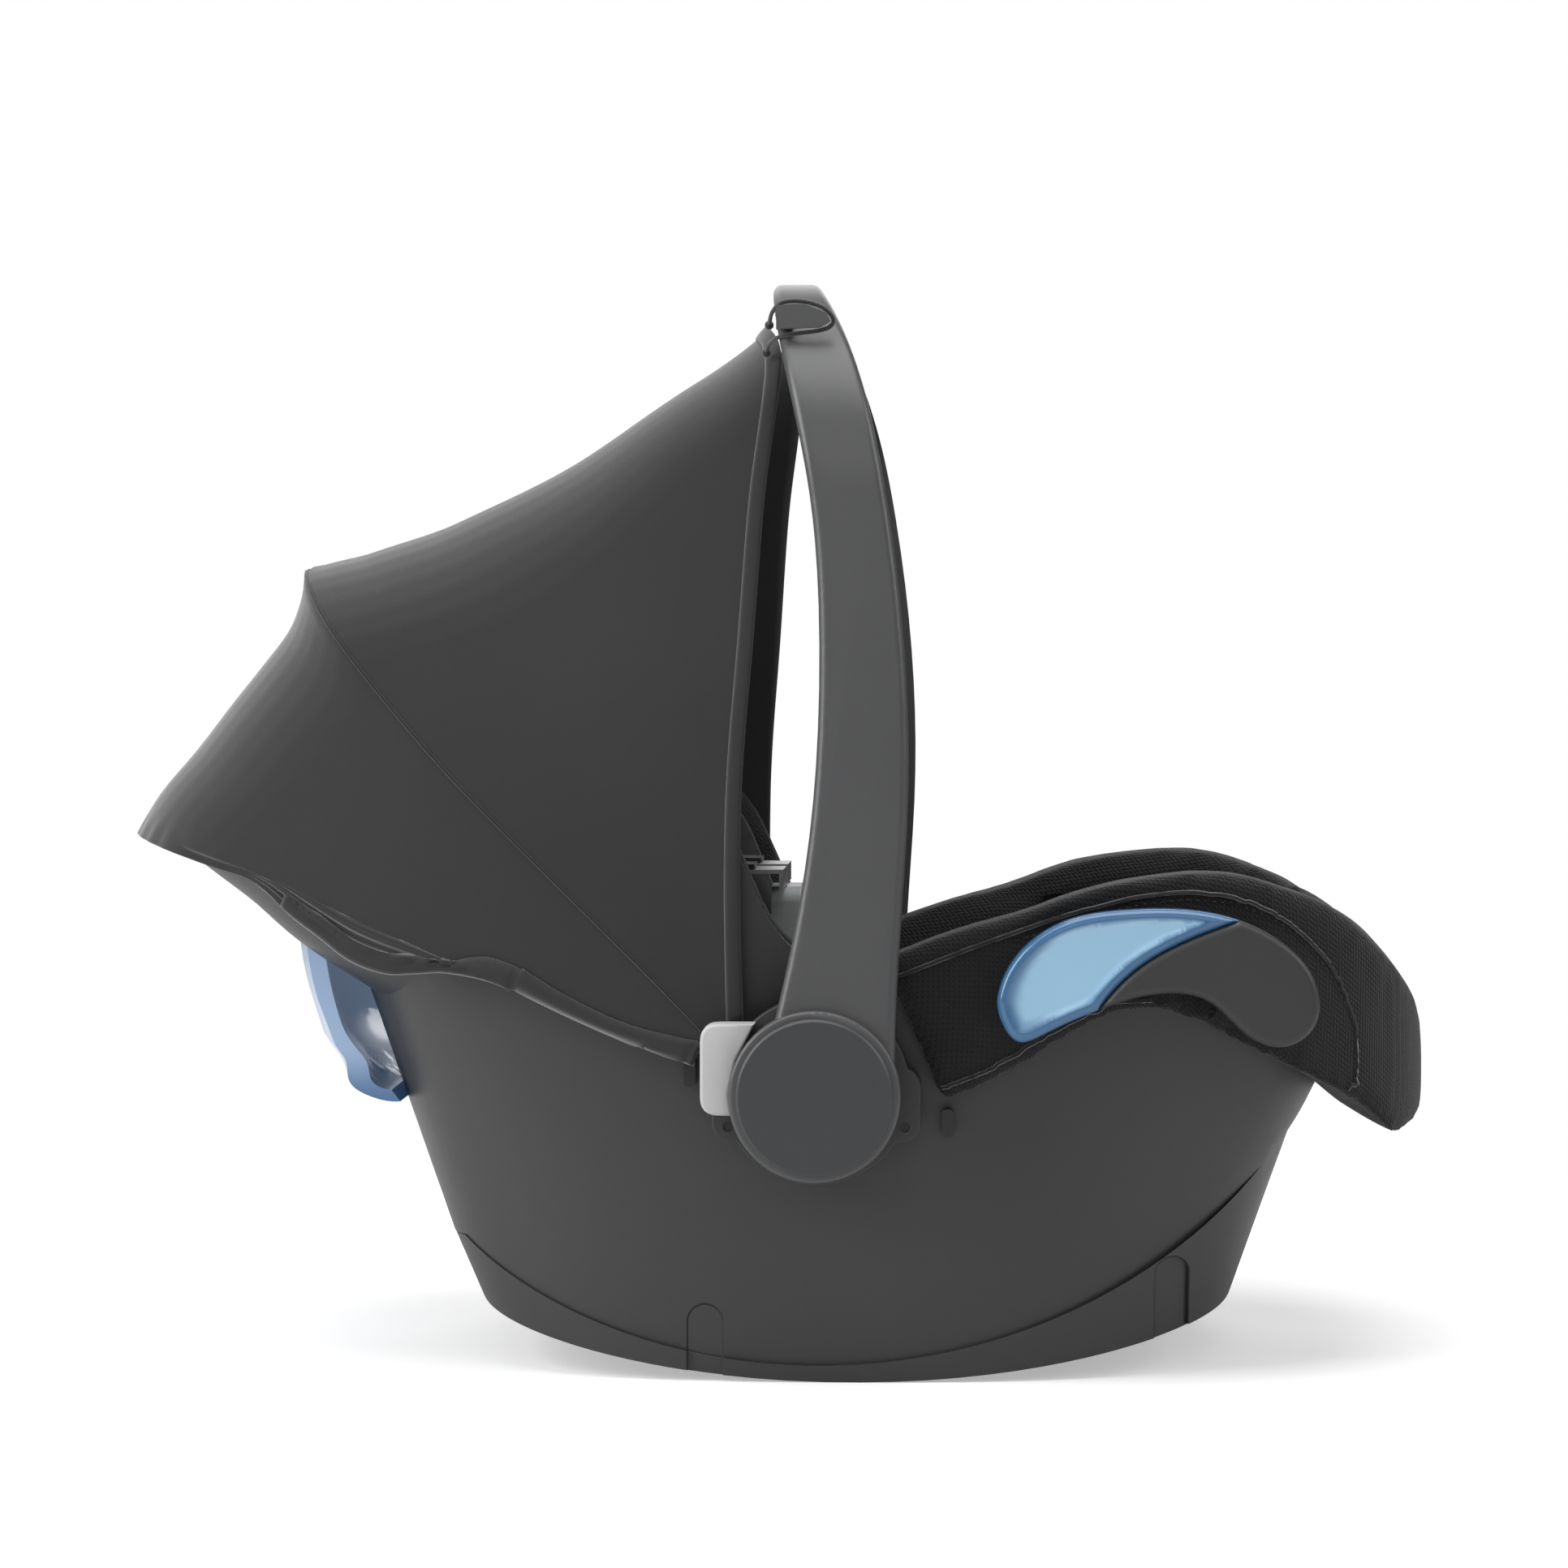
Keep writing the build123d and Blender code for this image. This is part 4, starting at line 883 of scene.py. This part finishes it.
# The cover's seams in side view, x and z, and the y from which they are laid on the cover
TOP_SEAM_Y, LOW_SEAM_Y = 178.0, 185.0
TOP_SEAM = (
    (66.0, 206.0), (125.0, 228.0), (199.0, 247.0), (250.0, 241.0), (290.0, 221.0), (322.0, 190.0),
    (333.0, 160.0), (322.0, 124.0),
)
LOW_SEAM = ((88.0, 149.0), (121.0, 162.0), (166.0, 185.0), (196.0, 193.0))
SEAM_RADIUS = 0.0011
COVER_STITCH = (0.0044, 0.003, 0.00035)  # pitch, length, half thickness
STITCH_UNDER = 4.0  # how far under the top seam its stitches run


def make_cover_seams(cover):
    """Piping along the cover's seams, and stitches under the top one."""
    tree = BVHTree.FromObject(cover, bpy.context.evaluated_depsgraph_get())
    lines, threads = [], bmesh.new()
    for _, sign in SIDES:
        for seam, y in ((TOP_SEAM, TOP_SEAM_Y), (LOW_SEAM, LOW_SEAM_Y)):
            lines.append(on_surface(tree, [(x, sign * y, z) for x, z in seam], 0.0002))
        under = [(x, sign * TOP_SEAM_Y, z - STITCH_UNDER) for x, z in TOP_SEAM[1:6]]
        stitches(threads, on_surface(tree, under, 0.0003), *COVER_STITCH)
    piping("seat_cover_piping", lines, SEAM_RADIUS, "shell", 6)
    piece("seat_cover_stitching", threads, "thread", "shell", ROUND)


def make_hugger():
    """The padded cushion round the infant's head."""
    made = remeshed("head_hugger", 0.005)
    relaxed(made, 6)
    swollen(made, pressure=3.0, cap=0.006, shrink=0.003)
    padded(made, "hugger", "head_hugger")


def make_small_pads():
    """The pads on the shoulder and crotch straps."""
    for node in ("shoulder_pad_right", "shoulder_pad_left", "crotch_pad"):
        made = remeshed(node, 0.0016)
        relaxed(made, 4)
        padded(made, "hugger", node)


# ---------------------------------------------------------------- rigid pieces
def distance_to(outline, point):
    """How far a point is from a closed outline, both in the XZ plane."""
    best = 1e9
    for a, b in outline:
        ab, ap = b - a, point - a
        t = min(max(ap.dot(ab) / max(ab.length_squared, 1e-12), 0.0), 1.0)
        best = min(best, (ap - ab * t).length)
    return best


FINE_EDGE = 0.0035  # longest edge in a blue guide's face, in metres
DISH_DEPTH, DISH_SLOPE = 0.0012, 0.004
RIM_WIDE, RIM_WIDER = 0.0022, 0.0080  # width of the deeper rim, and what it gains towards the head end


def fine_face(form, sign):
    """Divides a plate's large outer face finely, and gives its outline and how far out it lies."""
    outer = max((f for f in form.faces if sign * f.normal.y > 0.99), key=lambda f: f.calc_area())
    flat = sign * outer.calc_center_median().y
    outline = [[Vector((v.co.x, v.co.z)) for v in edge.verts] for edge in outer.edges]
    bmesh.ops.triangulate(form, faces=[outer])
    for _ in range(5):
        faces = [f for f in form.faces if abs(f.calc_center_median().y * sign - flat) < 1e-5]
        long = [e for e in {e for f in faces for e in f.edges} if e.calc_length() > FINE_EDGE]
        if not long:
            break
        bmesh.ops.subdivide_edges(form, edges=long, cuts=1, use_grid_fill=True)
        bmesh.ops.triangulate(
            form, faces=[f for f in form.faces if abs(f.calc_center_median().y * sign - flat) < 1e-5]
        )
    return outline, flat


def make_blue_guides():
    """Each blue plate's face is dished a little inside its rim, which shows deeper in colour."""
    for side, sign in SIDES:
        node = f"belt_guide_blue_{side}"
        form = copy_of(node, 0.5)
        rim = form.verts.layers.float.new("rim")
        for vert in form.verts:
            vert[rim] = 1.0
        outline, flat = fine_face(form, sign)
        for vert in form.verts:
            if abs(vert.co.y * sign - flat) < 1e-6:
                inside = distance_to(outline, Vector((vert.co.x, vert.co.z)))
                wide = RIM_WIDE + RIM_WIDER * ease((0.150 - vert.co.x) / 0.03)
                upper = 0.10 * ease((vert.co.x - 0.185) / 0.04)
                vert[rim] = max(1.0 - ease(inside / wide) * 0.95, upper)
                vert.co.y -= sign * DISH_DEPTH * ease(inside / DISH_SLOPE)
        stands_for(piece(node + "_finished", form, "blue", "shell"), node)


# The rear guide's blade: how far it bows and stands off, in millimetres. Its foot: how far it curves in, in
# millimetres, from which height down and over what height, in metres.
REAR_BOW, REAR_OFF = 14.0, 1.0
REAR_FOOT, REAR_FOOT_TOP, REAR_FOOT_HIGH = 15.0, 0.174, 0.034


def make_rear_guide():
    """The blade bows away from the shell at its middle. Its foot curves in, and is deeper in colour."""
    node = "rear_belt_guide"
    form = copy_of(node, 0.5)
    low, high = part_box(node)
    for k in range(1, 16):
        y = low.y + (high.y - low.y) * k / 16
        every = list(form.verts) + list(form.edges) + list(form.faces)
        bmesh.ops.bisect_plane(form, geom=every, plane_co=(0, y, 0), plane_no=(0, 1, 0))
    bmesh.ops.triangulate(form, faces=form.faces)
    rim = form.verts.layers.float.new("rim")
    for vert in form.verts:
        above = vert.co.z - low.z
        vert[rim] = 1.0 - ease(above / 0.03) * 0.8
        across = abs(vert.co.y) / high.y
        vert.co.x += (REAR_BOW * across ** 2 + REAR_OFF) * MM * ease((above - 0.004) / 0.02)
        curve = min(max((REAR_FOOT_TOP - vert.co.z) / REAR_FOOT_HIGH, 0.0), 1.2) ** 1.5
        vert.co.x += REAR_FOOT * MM * curve
    stands_for(piece(node + "_finished", form, "rear_blue", "shell"), node)


# The release key's outline on the right side, from the hub's axis: x, z
KEY_EDGE = ((-57.0, -10.5), (-57.0, 35.0), (-30.0, 35.0), (-39.0, 17.0), (-42.5, 0.0), (-41.0, -10.5))
KEY_CORNER, KEY_BEVEL = 9.0, 1.8
HUB = (26.5, 149.3)


def make_release_keys():
    """The squared key behind each hub, with rounded corners and a softened outer edge."""
    for side, sign in SIDES:
        node = f"release_button_{side}"
        low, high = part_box(node)
        inner, outer = (low.y, high.y) if sign > 0 else (high.y, low.y)
        form = bmesh.new()
        corners = [Vector((HUB[0] + x, 0.0, HUB[1] + z)) * MM for x, z in KEY_EDGE]
        middle = corners[0].lerp(corners[-1], 0.65)
        ring = rounded([middle, *corners[:3]], [KEY_CORNER * MM] * 2, 6)[:-1] + corners[2:]
        base = form.faces.new([form.verts.new((p.x, inner, p.z)) for p in ring])
        raised = bmesh.ops.extrude_face_region(form, geom=[base])["geom"]
        top = [v for v in raised if isinstance(v, bmesh.types.BMVert)]
        bmesh.ops.translate(form, verts=top, vec=(0, outer - inner, 0))
        edges = [e for e in form.edges if all(abs(v.co.y - outer) < 1e-6 for v in e.verts)]
        bmesh.ops.bevel(
            form, geom=edges, offset=KEY_BEVEL * MM, segments=3, profile=0.5, affect="EDGES", material=-1
        )
        bmesh.ops.recalc_face_normals(form, faces=form.faces)
        made = piece(node + "_finished", form, "button", frame["nodes"][node]["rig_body"])
        stands_for(made, node)


# Nodes whose own shape stays, and those that come in pairs: node, finish, slot
RIGID = (
    ("shell", "shell", "shell_plastic"), ("handle_frame", "handle", "handle_plastic"),
    ("handle_lining", "lining", "lining_plastic"), ("foam_liner", "foam", "foam"),
    ("buckle_body", "buckle", "buckle_grey"), ("buckle_button", "key", "key_red"),
    ("crotch_strap", "webbing", "webbing"), ("adjuster_strap", "webbing", "webbing"),
    ("adjuster_housing", "fitting", "buckle_grey"), ("adjuster_button", "key", "key_red"),
    ("harness_yoke", "steel", "steel"),
)
RIGID_PAIRS = (
    ("hub_plate", "plate", "shell_plastic"), ("plate_screws", "fitting", "steel"),
    ("pivot_axle", "steel", "steel"), ("latch_fork", "fitting", "handle_plastic"),
    ("button_spring", "steel", "steel"), ("hub_cap", "cap", "handle_plastic"),
    ("canopy_peg", "handle", "handle_plastic"), ("bow_pin", "steel", "steel"),
    ("shoulder_strap", "webbing", "webbing"), ("buckle_tongue", "steel", "steel"),
    ("belt_guide_cover", "plate", "shell_plastic"), ("canopy_hook", "fitting", "shell_plastic"),
    ("cover_hook", "fitting", "shell_plastic"),
)


def make_rigid():
    """Every rigid node in its finish."""
    for node, finish, slot in RIGID:
        dressed(node, finish)
    for stem, finish, slot in RIGID_PAIRS:
        for side, _ in SIDES:
            dressed(f"{stem}_{side}", finish)


# ---------------------------------------------------------------- the head end under the canopy
# How far the stretched canopy draws the head end's rim in towards the hubs: fan angle, distance
DRAWN_IN = (
    (120.0, 0.0), (133.0, 22.0), (139.0, 27.0), (150.0, 24.0), (158.0, 26.0), (161.0, 24.0), (163.5, 17.0),
    (168.0, 0.0),
)
DRAWN_FROM, DRAWN_OVER = 215.0, 90.0  # reach at which it begins, and over which it grows to the whole


def draw_in_head_end():
    """Lets the shell's head end, and what lies in it, fit under the canopy."""
    keep = {made.name for made in frame["nodes"].values()} | {"rear_belt_guide_finished"}
    for made in bpy.data.objects:
        if made.type != "MESH" or made.name in keep or made.get("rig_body") != "shell":
            continue
        points = []
        for vert in made.data.vertices:
            x, z = vert.co.x / MM - FAN_X, vert.co.z / MM - FAN_Z
            reach, inward = math.hypot(x, z), 0.0
            if x < 0.0 < z and reach > DRAWN_FROM:
                share = ease((reach - DRAWN_FROM) / DRAWN_OVER)
                inward = read(DRAWN_IN, math.degrees(math.atan2(z, x))) * share
            points.append(vert.co - Vector((x, 0.0, z)) * (inward / max(reach, 1.0) * MM))
        set_points(made.data, points)


# ---------------------------------------------------------------- studio
WHITE = (1, 1, 1, 1)
FLOOR_RADIUS = 6.0
FLOOR_PALE = (0.74, 0.74, 0.74, 1)
FLOOR_LIFT = 0.42  # light added to the floor for the camera alone
FADE_FROM, FADE_TO = 0.45, 1.0  # distance from the seat over which the floor fades to white
WORLD_LEVEL = 0.03
# name, place, width, height, power in watts
LAMPS = (
    ("overhead_softbox", (-0.1, -0.3, 2.3), 2.4, 1.8, 50.0),
    ("head_end_softbox", (-2.1, -0.9, 1.3), 1.5, 1.8, 58.0),
    ("foot_end_softbox", (2.2, -0.5, 1.5), 1.3, 1.6, 24.0),
    ("front_softbox", (0.3, -3.2, 1.6), 2.2, 1.6, 14.5),
    ("rear_softbox", (0.0, 2.6, 1.6), 2.2, 1.6, 25.0),
)
AIM = Vector((0.0, 0.0, 0.28))
# The eye stands 2.4 m away, a little above the middle of the seat, in metres
EYE, TARGET = Vector((0.0952, -2.370, 0.3573)), Vector((0.0033, 0.0, 0.2978))
VIEW_WIDTH = 0.845
SENSOR_WIDTH = 36.0


def faced(looker, to):
    """Turns a lamp or a camera to a point."""
    looker.rotation_euler = (to - looker.location).to_track_quat("-Z", "Y").to_euler()


def make_floor():
    """A pale floor that fades into the white surround away from the seat."""
    form = bmesh.new()
    bmesh.ops.create_circle(form, cap_ends=True, segments=96, radius=FLOOR_RADIUS)
    mesh = bpy.data.meshes.new("studio_floor")
    form.to_mesh(mesh)
    form.free()
    floor = added("studio_floor", mesh)
    finish = Finish("studio_floor_pale", Roughness=0.9, Specular_IOR_Level=0.1, Base_Color=FLOOR_PALE)
    x, y, _ = finish.axes(finish.coordinates())
    fade = finish.rising((x * x + y * y).math("SQRT"), FADE_FROM, FADE_TO, "SMOOTHSTEP")
    camera_ray = finish.node("ShaderNodeLightPath", output="Is Camera Ray")
    glow = finish.node("ShaderNodeEmission", values={"Color": WHITE, "Strength": 1.0})
    lift = finish.node("ShaderNodeEmission", values={"Color": WHITE, "Strength": camera_ray * FLOOR_LIFT})
    near = finish.node("ShaderNodeAddShader", values={0: Wire(finish, finish.shader.outputs[0]), 1: lift})
    mix = finish.node("ShaderNodeMixShader", values={0: fade * camera_ray, 1: near, 2: glow})
    output = next(n for n in finish.tree.nodes if n.type == "OUTPUT_MATERIAL")
    finish.put(mix, output.inputs["Surface"])
    mesh.materials.append(finish.material)


def make_world():
    """A dim world that shows as white to the camera and through clear plastic."""
    world = bpy.data.worlds.new("studio")
    bpy.context.scene.world = world
    world.use_nodes = True
    tree = world.node_tree
    tree.nodes.clear()
    path, seen = tree.nodes.new("ShaderNodeLightPath"), tree.nodes.new("ShaderNodeMath")
    seen.operation = "MAXIMUM"
    mix, output = tree.nodes.new("ShaderNodeMixShader"), tree.nodes.new("ShaderNodeOutputWorld")
    for k, ray in enumerate(("Is Camera Ray", "Is Transmission Ray")):
        tree.links.new(path.outputs[ray], seen.inputs[k])
    for k, level in ((1, WORLD_LEVEL), (2, 1.0)):
        light = tree.nodes.new("ShaderNodeBackground")
        light.inputs["Color"].default_value = WHITE
        light.inputs["Strength"].default_value = level
        tree.links.new(light.outputs[0], mix.inputs[k])
    tree.links.new(seen.outputs[0], mix.inputs[0])
    tree.links.new(mix.outputs[0], output.inputs["Surface"])


def make_lamps():
    """Softboxes around the seat, all turned to its middle."""
    for name, place, wide, high, power in LAMPS:
        light = bpy.data.lights.new(name, "AREA")
        light.shape, light.size, light.size_y, light.energy = "RECTANGLE", wide, high, power
        lamp = added(name, light)
        lamp.location = place
        faced(lamp, AIM)


def make_camera():
    """The view of the right side, VIEW_WIDTH wide at the seat."""
    lens = bpy.data.cameras.new("camera")
    lens.sensor_width = SENSOR_WIDTH
    lens.lens = SENSOR_WIDTH * (TARGET - EYE).length / VIEW_WIDTH
    camera = added("camera", lens)
    camera.location = EYE
    faced(camera, TARGET)
    bpy.context.scene.camera = camera


make_canopy()
make_bow()
make_hems()
make_loops()
make_cover_seams(make_cover())
make_hugger()
make_small_pads()
make_blue_guides()
make_rear_guide()
make_release_keys()
make_rigid()
draw_in_head_end()
make_floor()
make_world()
make_lamps()
make_camera()

bpy.context.scene.view_settings.view_transform = "Standard"
